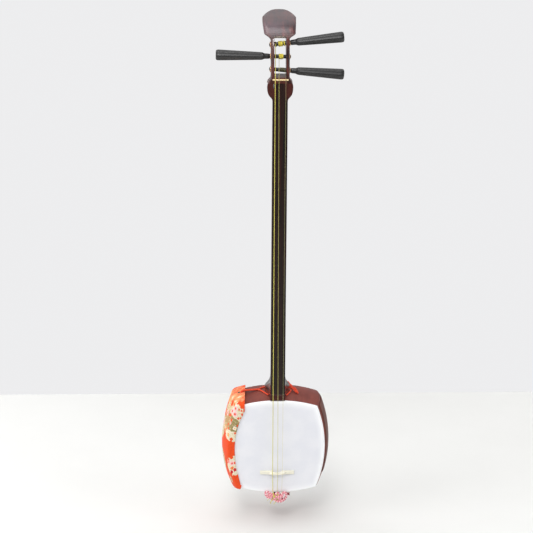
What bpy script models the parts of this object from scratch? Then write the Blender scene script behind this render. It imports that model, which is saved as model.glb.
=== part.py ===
"""Three-stringed long-necked lute (shamisen), medium neck.

Frame: neck along +Z, front skin facing -Y, tail edge of the body box at Z = 0.
All dimensions in metres; MM turns millimetres into metres.
"""
import bpy
import bmesh
import math
from mathutils import Vector, Matrix

MM = 0.001

# ---------------------------------------------------------------- driving dimensions (mm)
BODY_CZ = 107.0          # height of the body centre over its tail edge
RIM_HALF_X = 93.0        # half width of the skin rim at mid height
RIM_HALF_Z = 97.0        # half length of the skin rim on the centre line
CORNER_X = 77.0
CORNER_Z = 85.5
BOARD_HALF_D = 46.0      # half depth of the body box
BULGE = 11.0             # outward swell of the boards at mid depth
BOARD_IN = 11.0          # board thickness at its edges
SKIN_Y = 47.2            # outer face of the skins
SKIN_T = 0.9
NUT_Z = 827.2
NECK_Y = -51.0           # playing face of the neck
NECK_HALF_TOP = 13.95
NECK_HALF_BASE = 14.3
NECK_DEPTH = 26.0
HEAD_JOINT_Z = 820.9
NECK_JOINTS_Z = (625.0, 424.0)
SLOT_HALF = 10.8
WALL_X = 17.0            # half width of the peg box
BRIDGE_Z = 53.0
BRIDGE_TOP_Y = -56.8
# name, height, depth, tilt in degrees, side of the handle
PEGS = (("peg_1", 890.3, -26.0, 6.3, 1), ("peg_2", 867.9, -31.0, 1.2, -1), ("peg_3", 844.5, -35.5, -3.9, 1))
SAWARI_Z = 816.0
SAWARI_X = -11.3

R_TOP = (CORNER_X ** 2 + (RIM_HALF_Z - CORNER_Z) ** 2) / (2 * (RIM_HALF_Z - CORNER_Z))
R_SIDE = (CORNER_Z ** 2 + (RIM_HALF_X - CORNER_X) ** 2) / (2 * (RIM_HALF_X - CORNER_X))
C_TOP = RIM_HALF_Z - R_TOP
C_SIDE = RIM_HALF_X - R_SIDE

COLOURS = {
    "rosewood": ((0.075, 0.018, 0.014, 1), 0.3, 0.0),
    "quince": ((0.21, 0.075, 0.06, 1), 0.35, 0.0),
    "ebony": ((0.012, 0.012, 0.014, 1), 0.25, 0.0),
    "gilt": ((0.62, 0.36, 0.13, 1), 0.35, 1.0),
    "steel": ((0.45, 0.45, 0.45, 1), 0.35, 1.0),
    "bone": ((0.80, 0.74, 0.55, 1), 0.4, 0.0),
    "skin": ((0.80, 0.80, 0.84, 1), 0.5, 0.0),
    "silk": ((0.62, 0.56, 0.12, 1), 0.5, 0.0),
    "cord_pink": ((0.70, 0.25, 0.27, 1), 0.8, 0.0),
    "cord_red": ((0.72, 0.06, 0.03, 1), 0.8, 0.0),
    "cloth": ((0.83, 0.10, 0.03, 1), 0.8, 0.0),
    "rubber": ((0.09, 0.03, 0.02, 1), 0.7, 0.0),
}


def clear():
    for obj in list(bpy.data.objects):
        bpy.data.objects.remove(obj, do_unlink=True)


def material(name):
    mat = bpy.data.materials.get(name)
    if mat is None:
        colour, rough, metal = COLOURS[name]
        mat = bpy.data.materials.new(name)
        mat.use_nodes = True
        shader = mat.node_tree.nodes["Principled BSDF"]
        shader.inputs["Base Color"].default_value = colour
        shader.inputs["Roughness"].default_value = rough
        shader.inputs["Metallic"].default_value = metal
    return mat


def solid(name, verts, faces, mat, origin=(0, 0, 0)):
    """Closed solid from points in mm, its origin at a point in mm."""
    mesh = bpy.data.meshes.new(name)
    pts = [((Vector(v) - Vector(origin)) * MM)[:] for v in verts]
    mesh.from_pydata(pts, [], faces)
    bm = bmesh.new()
    bm.from_mesh(mesh)
    bmesh.ops.recalc_face_normals(bm, faces=bm.faces)
    bmesh.ops.triangulate(bm, faces=bm.faces, quad_method="BEAUTY", ngon_method="EAR_CLIP")
    bm.to_mesh(mesh)
    bm.free()
    obj = bpy.data.objects.new(name, mesh)
    bpy.context.scene.collection.objects.link(obj)
    obj.location = Vector(origin) * MM
    mesh.materials.append(material(mat))
    return obj


def loft(rings, cap_start=True, cap_end=True, loop=False):
    """Rings of equal length joined in order; ends closed by one polygon each."""
    n = len(rings[0])
    verts = [p for ring in rings for p in ring]
    faces = []
    last = len(rings) if loop else len(rings) - 1
    for i in range(last):
        a = i * n
        b = ((i + 1) % len(rings)) * n
        for k in range(n):
            m = (k + 1) % n
            faces.append((a + k, a + m, b + m, b + k))
    if not loop and cap_start:
        faces.append(tuple(reversed(range(n))))
    if not loop and cap_end:
        faces.append(tuple(range((len(rings) - 1) * n, len(rings) * n)))
    return verts, faces


def box(lo, hi):
    x0, y0, z0 = lo
    x1, y1, z1 = hi
    ring0 = [(x0, y0, z0), (x1, y0, z0), (x1, y1, z0), (x0, y1, z0)]
    ring1 = [(x, y, z1) for x, y, z in ring0]
    return loft([ring0, ring1])


def prism_x(poly_yz, x0, x1):
    return loft([[(x0, y, z) for y, z in poly_yz], [(x1, y, z) for y, z in poly_yz]])


def frame_about(axis):
    w = Vector(axis).normalized()
    u = w.orthogonal().normalized()
    return u, w.cross(u), w


def turned(profile, origin, axis, n=24, bore=None):
    """Solid of revolution: profile is (along, radius) pairs; bore is a second profile for a tube."""
    u, v, w = frame_about(axis)
    o = Vector(origin)

    def ring(s, r, shape=None):
        pts = []
        for k in range(n):
            a = 2 * math.pi * k / n
            rr = r if shape is None else r * shape(a)
            pts.append(tuple(o + w * s + u * (rr * math.cos(a)) + v * (rr * math.sin(a))))
        return pts

    rings = []
    for item in profile:
        shape = item[2] if len(item) > 2 else None
        rings.append(ring(item[0], item[1], shape))
    if bore is None:
        return loft(rings)
    for item in bore:
        rings.append(ring(item[0], item[1]))
    return loft(rings, loop=True)


def tube(path, radius, n=8, closed=False):
    """Round cord along a list of points in mm."""
    pts = [Vector(p) for p in path]
    count = len(pts)
    rings = []
    ref = None
    for i, p in enumerate(pts):
        if closed:
            t = (pts[(i + 1) % count] - pts[i - 1]).normalized()
        else:
            t = (pts[min(i + 1, count - 1)] - pts[max(i - 1, 0)]).normalized()
        if ref is None:
            ref = t.orthogonal().normalized()
        side = (ref - t * ref.dot(t)).normalized()
        ref = side
        up = t.cross(side)
        r = radius[i] if isinstance(radius, (list, tuple)) else radius
        ring = []
        for k in range(n):
            a = 2 * math.pi * k / n
            ring.append(tuple(p + side * (r * math.cos(a)) + up * (r * math.sin(a))))
        rings.append(ring)
    if not closed:
        return loft(rings)
    verts = [p for ring in rings for p in ring]
    faces = []
    for i in range(count - 1):
        for k in range(n):
            m = (k + 1) % n
            faces.append((i * n + k, i * n + m, (i + 1) * n + m, (i + 1) * n + k))
    first = [Vector(p) for p in rings[0]]
    last = [Vector(p) for p in rings[-1]]
    shift = min(range(n), key=lambda s: sum((last[k] - first[(k + s) % n]).length for k in range(n)))
    a = (count - 1) * n
    for k in range(n):
        m = (k + 1) % n
        faces.append((a + k, a + m, (m + shift) % n, (k + shift) % n))
    return verts, faces


def cut(obj, tool_data):
    verts, faces = tool_data
    tool = solid(obj.name + "_cutter", verts, faces, "steel")
    tool.hide_render = True
    tool.display_type = "WIRE"
    mod = obj.modifiers.new("cut", "BOOLEAN")
    mod.operation = "DIFFERENCE"
    mod.solver = "EXACT"
    mod.object = tool
    depsgraph = bpy.context.evaluated_depsgraph_get()
    mesh = bpy.data.meshes.new_from_object(obj.evaluated_get(depsgraph))
    obj.modifiers.remove(mod)
    old = obj.data
    obj.data = mesh
    bpy.data.meshes.remove(old)
    bpy.data.objects.remove(tool, do_unlink=True)
    return obj


def smooth_path(points, steps):
    """Catmull-Rom curve through the points."""
    pts = [Vector(p) for p in points]
    pts = [pts[0] * 2 - pts[1]] + pts + [pts[-1] * 2 - pts[-2]]
    out = []
    for i in range(1, len(pts) - 2):
        p0, p1, p2, p3 = pts[i - 1:i + 3]
        for s in range(steps):
            t = s / steps
            out.append(tuple(0.5 * (2 * p1 + (p2 - p0) * t + (2 * p0 - 5 * p1 + 4 * p2 - p3) * t * t
                                    + (3 * p1 - p0 - 3 * p2 + p3) * t ** 3)))
    out.append(tuple(pts[-2]))
    return out


# ---------------------------------------------------------------- body box
def swell(y):
    return BULGE * max(0.0, 1 - (y / BOARD_HALF_D) ** 2)


def corner(off):
    """Where the top and side arcs meet when both are pushed out by off."""
    ra, rb = R_TOP + off, R_SIDE + off
    ax, az, bx, bz = 0.0, C_TOP, C_SIDE, 0.0
    d = math.hypot(bx - ax, bz - az)
    a = (ra * ra - rb * rb + d * d) / (2 * d)
    h = math.sqrt(ra * ra - a * a)
    ux, uz = (bx - ax) / d, (bz - az) / d
    roots = [(ax + a * ux - w * h * uz, az + a * uz + w * h * ux) for w in (-1, 1)]
    return max(roots, key=lambda p: min(p))


def rim(side, u, off, gap=0.0):
    """Point of the outline: side is top, right, bottom or left; u runs -1 to 1 along it."""
    cx, cz = corner(off)
    if side in ("top", "bottom"):
        full = math.atan2(cx, cz - C_TOP) - gap / (R_TOP + off)
        a = u * full
        x, z = (R_TOP + off) * math.sin(a), (R_TOP + off) * math.cos(a) + C_TOP
        return (x, BODY_CZ + (z if side == "top" else -z))
    full = math.atan2(cz, cx - C_SIDE) - gap / (R_SIDE + off)
    a = u * full
    x, z = (R_SIDE + off) * math.cos(a) + C_SIDE, (R_SIDE + off) * math.sin(a)
    return (x if side == "right" else -x, BODY_CZ + z)


DEPTHS = (-46.0, -40.0, -31.0, -20.0, -7.0, 7.0, 20.0, 31.0, 40.0, 46.0)
STEPS = 14


def board(side):
    section = [(swell(y), y) for y in DEPTHS]
    section += [(-BOARD_IN, BOARD_HALF_D), (-BOARD_IN, -BOARD_HALF_D)]
    rings = []
    for i in range(STEPS + 1):
        u = -1 + 2 * i / STEPS
        ring = []
        for off, y in section:
            x, z = rim(side, u, off, gap=0.3)
            ring.append((x, y, z))
        rings.append(ring)
    verts, faces = loft(rings)
    return solid("body_board_" + side, verts, faces, "quince")


def outline(off):
    pts = [rim("top", -1 + 2 * i / STEPS, off) for i in range(STEPS)]
    pts += [rim("right", 1 - 2 * i / STEPS, off) for i in range(STEPS)]
    pts += [rim("bottom", 1 - 2 * i / STEPS, off) for i in range(STEPS)]
    pts += [rim("left", -1 + 2 * i / STEPS, off) for i in range(STEPS)]
    return pts


def skin(name, face):
    """Stretched skin glued over the rim, folded a few millimetres down the boards."""
    levels = [(-30.0, SKIN_Y), (-1.0, SKIN_Y), (0.5, SKIN_Y - 0.3), (1.1, 46.0), (swell(40) + 1.1, 40.0),
              (swell(40) + 0.4, 40.0), (0.4, SKIN_Y - SKIN_T), (-30.0, SKIN_Y - SKIN_T)]
    rings = []
    for off, depth in levels:
        rings.append([(x, face * depth, z) for x, z in outline(off)])
    verts, faces = loft(rings, cap_start=False, cap_end=False)
    n = len(rings[0])
    for start, depth in ((0, SKIN_Y), ((len(rings) - 1) * n, SKIN_Y - SKIN_T)):
        verts.append((0, face * depth, BODY_CZ))
        hub = len(verts) - 1
        faces += [(start + k, start + (k + 1) % n, hub) for k in range(n)]
    return solid(name, verts, faces, "skin")


# ---------------------------------------------------------------- neck
def neck_section(z, half, back, face=NECK_Y, front=None, widest=0.42):
    """Flat playing face of its own half width, rounded back; widest is a share of the depth."""
    depth = back - face
    front = half if front is None else front
    pts = [(-front, face + 0.6), (-front + 0.6, face), (front - 0.6, face), (front, face + 0.6)]
    side = [(front + (half - front) * g, face + widest * depth * t) for t, g in ((0.35, 0.12), (0.65, 0.55))]
    pts += side + [(half, face + widest * depth)]
    for k in range(1, 6):
        a = math.pi * k / 6
        pts.append((half * math.cos(a), face + widest * depth + (1 - widest) * depth * math.sin(a)))
    pts += [(-half, face + widest * depth)] + [(-x, y) for x, y in reversed(side)]
    return [(x, y, z) for x, y in pts]


def neck_half(z):
    t = (NUT_Z - z) / (NUT_Z - 204)
    return NECK_HALF_TOP + (NECK_HALF_BASE - NECK_HALF_TOP) * t


def straight_neck(z0, z1):
    return [neck_section(z, neck_half(z), NECK_Y + NECK_DEPTH) for z in (z0, z1)]


def tenon(z0, z1, half_x, y0, y1):
    return [[(-half_x, y0, z), (half_x, y0, z), (half_x, y1, z), (-half_x, y1, z)] for z in (z0, z1)]


def fuse(obj, data):
    verts, faces = data
    tool = solid(obj.name + "_add", verts, faces, "steel")
    tool.data.materials.clear()
    tool.data.materials.append(obj.data.materials[0])
    mod = obj.modifiers.new("add", "BOOLEAN")
    mod.operation = "UNION"
    mod.solver = "EXACT"
    mod.object = tool
    depsgraph = bpy.context.evaluated_depsgraph_get()
    mesh = bpy.data.meshes.new_from_object(obj.evaluated_get(depsgraph))
    obj.modifiers.remove(mod)
    old = obj.data
    obj.data = mesh
    bpy.data.meshes.remove(old)
    bpy.data.objects.remove(tool, do_unlink=True)
    return obj


def upper_neck():
    stations = ((NECK_JOINTS_Z[0] + 0.15, None, -25.0), (780.0, None, -25.0), (789.5, 14.1, -24.6),
                (792.5, 14.9, -23.9), (795.0, 17.0, -22.8), (797.5, 19.3, -21.6), (801.0, 21.6, -20.4),
                (806.0, 23.0, -19.2), (811.5, 23.6, -18.4), (816.5, 23.6, -18.2), (HEAD_JOINT_Z - 0.15, 22.5, -18.6))
    rings = [neck_section(z, half or neck_half(z), back) for z, half, back in stations]
    obj = solid("upper_neck", *loft(rings), "rosewood")
    fuse(obj, loft(tenon(HEAD_JOINT_Z - 3, HEAD_JOINT_Z + 6.0, 5.0, -43.0, -30.0)))
    fuse(obj, loft(tenon(NECK_JOINTS_Z[0] - 22.0, NECK_JOINTS_Z[0] + 3, 5.0, -45.0, -32.0)))
    cut(obj, turned([(-70, 2.3), (-35.2, 2.3)], (SAWARI_X, 0, SAWARI_Z), (0, 1, 0)))
    cut(obj, turned([(-35.8, 3.4), (10, 3.4)], (SAWARI_X, 0, SAWARI_Z), (0, 1, 0)))
    return obj


def middle_neck():
    rings = straight_neck(NECK_JOINTS_Z[1] + 0.15, NECK_JOINTS_Z[0] - 0.15)
    obj = solid("middle_neck", *loft(rings), "rosewood")
    fuse(obj, loft(tenon(NECK_JOINTS_Z[1] - 22.0, NECK_JOINTS_Z[1] + 3, 5.0, -45.0, -32.0)))
    cut(obj, box((-5.35, -45.35, NECK_JOINTS_Z[0] - 22.5), (5.35, -31.65, NECK_JOINTS_Z[0] + 3)))
    return obj


def board_top(x, y, off=0.0):
    r = R_TOP + swell(y) + off
    return BODY_CZ + math.sqrt(r * r - x * x) + C_TOP


def foot_gap(y):
    """Room under the heel: more where the folded skin edge lies on the board."""
    return 0.8 + 1.2 * min(1.0, max(0.0, (-34.0 - y) / 4.0))


def lower_neck():
    """Lower third with the swelling heel, the long tang through the body and its end pin."""
    stations = ((NECK_JOINTS_Z[1] - 0.15, None, -25.0, NECK_Y, 0.42), (272.0, None, -25.0, NECK_Y, 0.42),
                (262.0, 14.4, -24.9, NECK_Y, 0.46), (254.0, 14.9, -24.2, NECK_Y, 0.52), (247.0, 16.4, -21.6, NECK_Y, 0.6),
                (241.0, 18.8, -17.6, NECK_Y, 0.66), (235.5, 21.7, -12.4, NECK_Y, 0.7), (230.5, 24.0, -7.2, NECK_Y, 0.71),
                (226.0, 24.8, -4.2, NECK_Y, 0.71), (220.2, 24.7, -2.6, NECK_Y + 0.1, 0.71), (217.8, 24.5, -2.4, NECK_Y + 2.3, 0.71))
    rings = [neck_section(z, half or neck_half(z), back, face, min(neck_half(z), half or 99), widest)
             for z, half, back, face, widest in stations]
    shape = neck_section(0, 23.8, -2.9, -47.6, 14.0, 0.71)
    for share in (1.0, 0.7, 0.4):
        ring = []
        for x, y, _ in shape:
            px, py = x * share, -33.0 + (y + 33.0) * share
            ring.append((px, py, board_top(px, max(py, -46.0), foot_gap(py))))
        rings.append(ring)
    obj = solid("lower_neck", *loft(rings), "rosewood")
    tang = [[(-8.8, -39.3, z), (8.8, -39.3, z), (8.8, -22.0, z), (-8.8, -22.0, z)] for z in (24.0, 224.0)]
    fuse(obj, loft(tang))
    pin = [[(-h, -33 - d, z), (h, -33 - d, z), (h, -33 + d, z), (-h, -33 + d, z)]
           for z, h, d in ((-13.0, 4.6, 4.0), (-11.5, 5.6, 5.0), (28.0, 6.4, 6.0))]
    fuse(obj, loft(pin))
    cut(obj, box((-5.35, -45.35, NECK_JOINTS_Z[1] - 22.5), (5.35, -31.65, NECK_JOINTS_Z[1] + 3)))
    return obj


# ---------------------------------------------------------------- head
HEAD = (  # height and depth of the front line, tilt in degrees, half width, half thickness
    (HEAD_JOINT_Z + 0.15, -51.0, 0, 22.5, 16.0), (823.5, -51.0, 0, 21.4, 15.8), (826.5, -51.0, 0, 19.2, 15.4),
    (829.5, -50.9, 3, 17.8, 15.0), (834.5, -50.5, 6, WALL_X, 14.6), (847.0, -48.8, 8, WALL_X, 14.4),
    (870.0, -44.6, 11, WALL_X, 14.4), (892.0, -39.0, 13, WALL_X, 14.2), (899.6, -36.6, 7, WALL_X + 0.1, 13.8),
    (902.2, -35.8, 4, 20.0, 13.2), (905.8, -34.5, 3, 25.7, 12.2), (908.8, -33.2, 4, 28.4, 11.4),
    (915.0, -30.2, 11, 28.9, 10.4), (924.0, -25.0, 21, 29.8, 9.3), (932.0, -19.2, 30, 30.4, 8.1),
    (938.7, -13.2, 37, 30.7, 7.1), (943.0, -8.6, 41, 26.5, 6.3), (946.6, -4.4, 43, 21.7, 5.5),
    (949.6, -0.6, 44, 15.1, 4.6), (951.2, 1.6, 44, 7.0, 3.4))


def lean(z):
    """The crown of the head stands a little to one side."""
    return -1.5 * min(1.0, max(0.0, (z - 896.0) / 42.0))


def head_section(zf, yf, tilt, half, thick):
    t = math.radians(tilt)
    c = min(1.6, thick * 0.3)
    b = min(6.0, thick * 0.45)
    shape = [(-half, -thick + c), (-half + c, -thick), (half - c, -thick), (half, -thick + c),
             (half, thick - b), (half - b * 0.8, thick), (-half + b * 0.8, thick), (-half, thick - b)]
    return [(x + lean(zf), yf + (n + thick) * math.cos(t), zf - (n + thick) * math.sin(t)) for x, n in shape]


def head():
    obj = solid("head", *loft([head_section(*s) for s in HEAD]), "rosewood")
    cut(obj, box((-5.35, -43.35, 800), (5.35, -29.65, HEAD_JOINT_Z + 6.5)))
    cut(obj, prism_x([(-80, 831.0), (-51.0, 831.0), (-20.0, 837.2), (25, 841.0), (25, 895.0), (-8.0, 899.4),
                      (-35.0, 903.8), (-80, 905.0)], -SLOT_HALF, SLOT_HALF))
    for name, z, y, tilt, hand in PEGS:
        cut(obj, turned([(-60, 5.3), (60, 5.3)], (0, y, z), peg_axis(tilt, hand)))
    return obj


def peg_axis(tilt, hand):
    t = math.radians(tilt)
    return (hand * math.cos(t), 0.0, math.sin(t))


def ferrules():
    """Flanged sleeves lining each peg hole: one per wall."""
    for name, z, y, tilt, hand in PEGS:
        axis = Vector(peg_axis(tilt, hand))
        for side, way in (("handle", 1), ("far", -1)):
            shell = [(11.2, 4.9), (17.4, 4.9), (17.4, 5.6), (18.8, 5.6), (19.1, 5.2)]
            bore = [(19.1, 4.5), (11.2, 4.5)]
            tilt_slack = 5.6 * math.tan(math.radians(abs(tilt)))
            shell = [(s + (tilt_slack if s > 15 else 0), r) for s, r in shell]
            bore = [(s + (tilt_slack if s > 15 else 0), r) for s, r in bore]
            data = turned(shell, (0, y, z), tuple(axis * way), bore=bore)
            solid(name + "_ferrule_" + side, *data, "gilt")


def six_sided(a):
    """Radius factor of a rounded six-sided bar."""
    b = (a + math.pi / 6) % (math.pi / 3) - math.pi / 6
    return min(1.0, 0.925 / math.cos(b))


def pegs():
    for name, z, y, tilt, hand in PEGS:
        profile = [(-20.0, 3.0), (-19.3, 3.5), (19.9, 4.05), (21.0, 4.7), (28.8, 5.1), (31.0, 6.0), (33.5, 6.7, six_sided),
                   (43.0, 7.3, six_sided), (60.0, 7.9, six_sided), (90.0, 9.0, six_sided), (111.0, 9.7, six_sided),
                   (115.2, 9.0, six_sided), (116.5, 7.2, six_sided), (116.9, 4.2)]
        data = turned(profile, (0, y, z), peg_axis(tilt, hand))
        solid(name, *data, "ebony", origin=(0, y, z))


WINDINGS = {"peg_1": ((-10.0, 5.1), (-6.4, 5.1), (-6.0, 4.8), (-3.6, 4.8), (-3.0, 5.6), (4.6, 5.6)),
            "peg_2": ((-2.8, 5.6), (5.0, 5.6)),
            "peg_3": ((-3.6, 5.0), (9.9, 5.0))}


def windings():
    for name, z, y, tilt, hand in PEGS:
        shape = [(x * hand, r) for x, r in WINDINGS[name]]
        shape.sort()
        bore = [(shape[-1][0], 4.3), (shape[0][0], 4.3)]
        data = turned(shape, (0, y, z), peg_axis(tilt, hand), bore=bore)
        solid(name + "_winding", *data, "silk", origin=(0, y, z))


# ---------------------------------------------------------------- small fittings
def nut():
    ring = []
    for x in (-13.9, 14.9):
        ring.append([(x, -51.3, NUT_Z - 1.5), (x, -53.0, NUT_Z - 1.5), (x, -53.4, NUT_Z - 0.6),
                     (x, -53.4, NUT_Z + 0.7), (x, -52.9, NUT_Z + 1.5), (x, -51.3, NUT_Z + 1.5)])
    solid("upper_bridge", *loft(ring), "bone")


def sawari():
    pin = turned([(-52.4, 1.5), (-51.9, 1.9), (-44.0, 1.9), (-36.2, 1.9)], (SAWARI_X, 0, SAWARI_Z), (0, 1, 0), n=20)
    solid("sawari_pin", *pin, "steel", origin=(SAWARI_X, -45, SAWARI_Z))
    screw = turned([(-35.4, 2.2), (-34.9, 2.6), (-19.0, 2.6), (-16.6, 2.6), (-16.4, 4.4), (-13.6, 4.4), (-13.0, 3.8)],
                   (SAWARI_X, 0, SAWARI_Z), (0, 1, 0), n=20)
    obj = solid("sawari_screw", *screw, "steel", origin=(SAWARI_X, -20, SAWARI_Z))
    cut(obj, box((SAWARI_X - 6, -14.2, SAWARI_Z - 0.5), (SAWARI_X + 6, -10.0, SAWARI_Z + 0.5)))


def bridge():
    def half_len(y):
        return 4.1 - (-47.7 - y) * 0.29
    poly = [(-34.0, -47.7), (-34.0, -49.8), (-18.0, -50.5), (-15.0, -52.4), (-13.6, -55.9), (-12.6, BRIDGE_TOP_Y),
            (0.0, BRIDGE_TOP_Y), (12.6, BRIDGE_TOP_Y), (13.6, -55.9), (15.0, -52.4), (18.0, -50.5), (34.0, -49.8),
            (34.0, -47.7), (9.2, -47.7), (9.0, -49.6), (6.6, -52.2), (3.0, -53.2), (-3.0, -53.2), (-6.6, -52.2),
            (-9.0, -49.6), (-9.2, -47.7)]
    rings = [[(x, y, BRIDGE_Z + s * half_len(y)) for x, y in poly] for s in (-1, 1)]
    solid("bridge", *loft(rings), "bone", origin=(0, -47.7, BRIDGE_Z))


# string: radius, x at tail, bridge, nut, winding; peg index; winding radius at its landing
STRINGS = (("string_1", 0.65, -8.4, -9.3, -9.2, -8.3, 0, 5.1), ("string_2", 0.5, 0.2, 0.9, -2.4, -2.0, 1, 5.6),
           ("string_3", 0.35, 9.3, 10.2, 10.1, 8.6, 2, 5.0))


def strings():
    for name, r, x_tail, x_bridge, x_nut, x_peg, index, reach in STRINGS:
        peg = PEGS[index]
        tilt = math.radians(peg[3])
        slope = math.sin(tilt) * (1 if peg[4] > 0 else -1)
        z_peg = peg[1] + x_peg * slope
        end_y = peg[2] - reach - r - 0.45
        y_b = BRIDGE_TOP_Y - r - 0.35
        y_n = -53.4 - r - 0.35
        path = [(x_tail, -52.6 - r, 12.5), (x_tail + (x_bridge - x_tail) * 0.9, y_b + 0.42, BRIDGE_Z - 3.5),
                (x_bridge, y_b - 0.05, BRIDGE_Z - 0.9), (x_bridge, y_b - 0.05, BRIDGE_Z + 0.9),
                (x_bridge + (x_nut - x_bridge) * 0.5, (y_b + y_n) / 2, (BRIDGE_Z + NUT_Z) / 2),
                (x_nut, y_n, NUT_Z - 1.0), (x_nut, y_n + 0.05, NUT_Z + 1.4), (x_peg, end_y, z_peg)]
        solid(name, *tube(path, r, n=8), "silk")


def tail_cord():
    """Braided loop hooked over the end pin and drawn up in front of the skin's lower edge."""
    path = [(0, -24.8, -7.0), (6.4, -25.2, -7.2), (9.6, -29.5, -7.4), (10.4, -38.0, -7.6), (11.0, -48.0, -7.4), (11.4, -53.5, -3.0),
            (11.6, -55.0, 3.0), (9.4, -54.9, 8.2), (4.0, -54.9, 9.2), (0.0, -54.9, 9.4), (-4.0, -54.9, 9.2),
            (-9.4, -54.9, 8.2), (-11.6, -55.0, 3.0), (-11.4, -53.5, -3.0), (-11.0, -48.0, -7.4),
            (-10.4, -38.0, -7.6), (-9.6, -29.5, -7.4), (-6.4, -25.2, -7.2)]
    solid("tail_cord", *tube(path, 1.9, n=8, closed=True), "cord_pink")


# ---------------------------------------------------------------- arm cover and knee rubber
COVER = (  # side, u along it, overlap on the skin, proud height
    ("top", 1.0, 11.0, 6.5), ("top", 0.5, 12.5, 6.7), ("left", 1.0, 13.5, 6.6), ("left", 0.9, 13.5, 6.0),
    ("left", 0.75, 11.6, 5.5), ("left", 0.5, 9.9, 5.2), ("left", 0.25, 8.9, 5.6), ("left", 0.0, 8.2, 6.6),
    ("left", -0.25, 7.9, 7.2), ("left", -0.5, 7.2, 7.2), ("left", -0.75, 7.4, 6.6), ("left", -0.9, 6.4, 6.0),
    ("left", -1.0, 5.6, 5.6), ("bottom", 0.6, 5.0, 5.0))
COVER_TOP_X = -63.6
COVER_EDGE_SLANT = 0.025
COVER_LOW_X = -69.6


def cover_station(side, u, off, y):
    """On the top and bottom boards u is the share of the way from the corner to the cut edge."""
    if side == "left":
        x, z = rim(side, u, off)
        return (x, y, z)
    cx = -corner(off)[0]
    edge = COVER_TOP_X + COVER_EDGE_SLANT * y if side == "top" else COVER_LOW_X
    x = cx + (max(cx, edge) - cx) * u
    r = R_TOP + off
    z = math.sqrt(r * r - x * x) + C_TOP
    return (x, y, BODY_CZ + (z if side == "top" else -z))


def arm_cover():
    rings = []
    for side, u, lap, proud in COVER:
        outer = [(-lap, -49.0), (-lap + 0.6, -49.5), (0.0, -49.7), (proud * 0.55, -49.0), (proud * 0.95, -46.2)]
        outer += [(swell(y) + proud, y) for y in (-40.0, -31.0, -20.0, -7.0, 7.0, 20.0, 31.0)]
        outer += [(swell(38.6) + proud * 0.95, 38.6), (swell(39.2) + 1.8, 39.2)]
        inner = [(swell(39.2) + 1.4, 38.4)]
        inner += [(swell(y) + 1.5, y) for y in (31.0, 20.0, 7.0, -7.0, -20.0, -31.0)]
        inner += [(swell(40) + 1.6, -40.0), (1.6, -46.6), (0.9, -47.7), (-lap, -47.7)]
        ring = []
        for off, y in outer + inner:
            ring.append(cover_station(side, u, off, y))
        rings.append(ring)
    solid("arm_cover", *loft(rings), "cloth")


def cover_point(x, y, off):
    r = R_TOP + swell(y) + off
    return Vector((x, y, BODY_CZ + math.sqrt(r * r - x * x) + C_TOP))


def eyelet():
    at = cover_point(-75.8, -13.0, 7.4)
    normal = (-0.28, -0.13, 0.95)
    data = turned([(0.2, 3.4), (1.0, 3.2), (1.2, 2.8)], tuple(at), normal, n=20, bore=[(1.2, 2.2), (0.2, 2.2)])
    solid("arm_cover_eyelet", *data, "gilt")


def cover_cords():
    """Tie cord from the eyelet to a fork, then behind the heel and to the heel's two sides."""
    r = 1.4
    lay = 0.7

    def on_board(x, y, lift=0.0):
        return (x, y, board_top(x, y, r + lay + lift))

    rear = [tuple(cover_point(-75.8, -13.0, 9.6 + r)), tuple(cover_point(-65.0, -11.4, 7.7 + r)), on_board(-50.0, -8.2, 4.2),
            on_board(-37.4, -5.2, 0.3), on_board(-31.0, -0.8), on_board(-26.4, 2.4), on_board(-19.0, 4.6, 0.8), (0.0, 5.6, 224.0),
            (16.0, 5.2, 226.4), (24.4, 2.2, 226.0), (29.0, -3.4, 222.0), (31.4, -9.5, 219.6), (34.0, -15.0, 216.6), on_board(38.4, -20.5, 0.6)]
    solid("arm_cover_cord_rear", *tube(smooth_path(rear, 2), r, n=8), "cord_red")
    left = [on_board(-36.4, -10.0), on_board(-31.0, -15.4), on_board(-26.6, -21.4), on_board(-22.8, -26.8)]
    solid("arm_cover_cord_left", *tube(smooth_path(left, 2), r, n=8), "cord_red")
    right = [on_board(28.6, -11.0), on_board(28.0, -17.0), on_board(25.0, -24.0), on_board(22.4, -28.6)]
    solid("arm_cover_cord_right", *tube(smooth_path(right, 2), r, n=8), "cord_red")


def knee_rubber():
    rings = []
    for i in range(13):
        u = -0.66 + (0.93 + 0.66) * i / 12
        section = [(swell(y) + 2.0, y) for y in (-36.0, -31.0, -20.0, -7.0, 7.0, 20.0, 31.0)]
        section += [(swell(y) + 0.5, y) for y in (31.0, 20.0, 7.0, -7.0, -20.0, -31.0, -36.0)]
        ring = []
        for off, y in section:
            x, z = rim("right", u, off)
            ring.append((x, y, z))
        rings.append(ring)
    solid("knee_rubber", *loft(rings), "rubber")


def main():
    clear()
    boards = {side: board(side) for side in ("top", "right", "bottom", "left")}
    cut(boards["top"], box((-9.2, -39.75, 160), (9.2, -21.5, 240)))
    cut(boards["bottom"], box((-6.9, -39.5, -30), (6.9, -26.5, 60)))
    skin("front_skin", -1)
    skin("back_skin", 1)
    head()
    upper_neck()
    middle_neck()
    lower_neck()
    ferrules()
    pegs()
    windings()
    nut()
    sawari()
    bridge()
    strings()
    tail_cord()
    arm_cover()
    eyelet()
    cover_cords()
    knee_rubber()


main()
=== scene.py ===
import math
import bmesh
import bpy
from mathutils import Matrix, Vector
from mathutils.bvhtree import BVHTree

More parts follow.
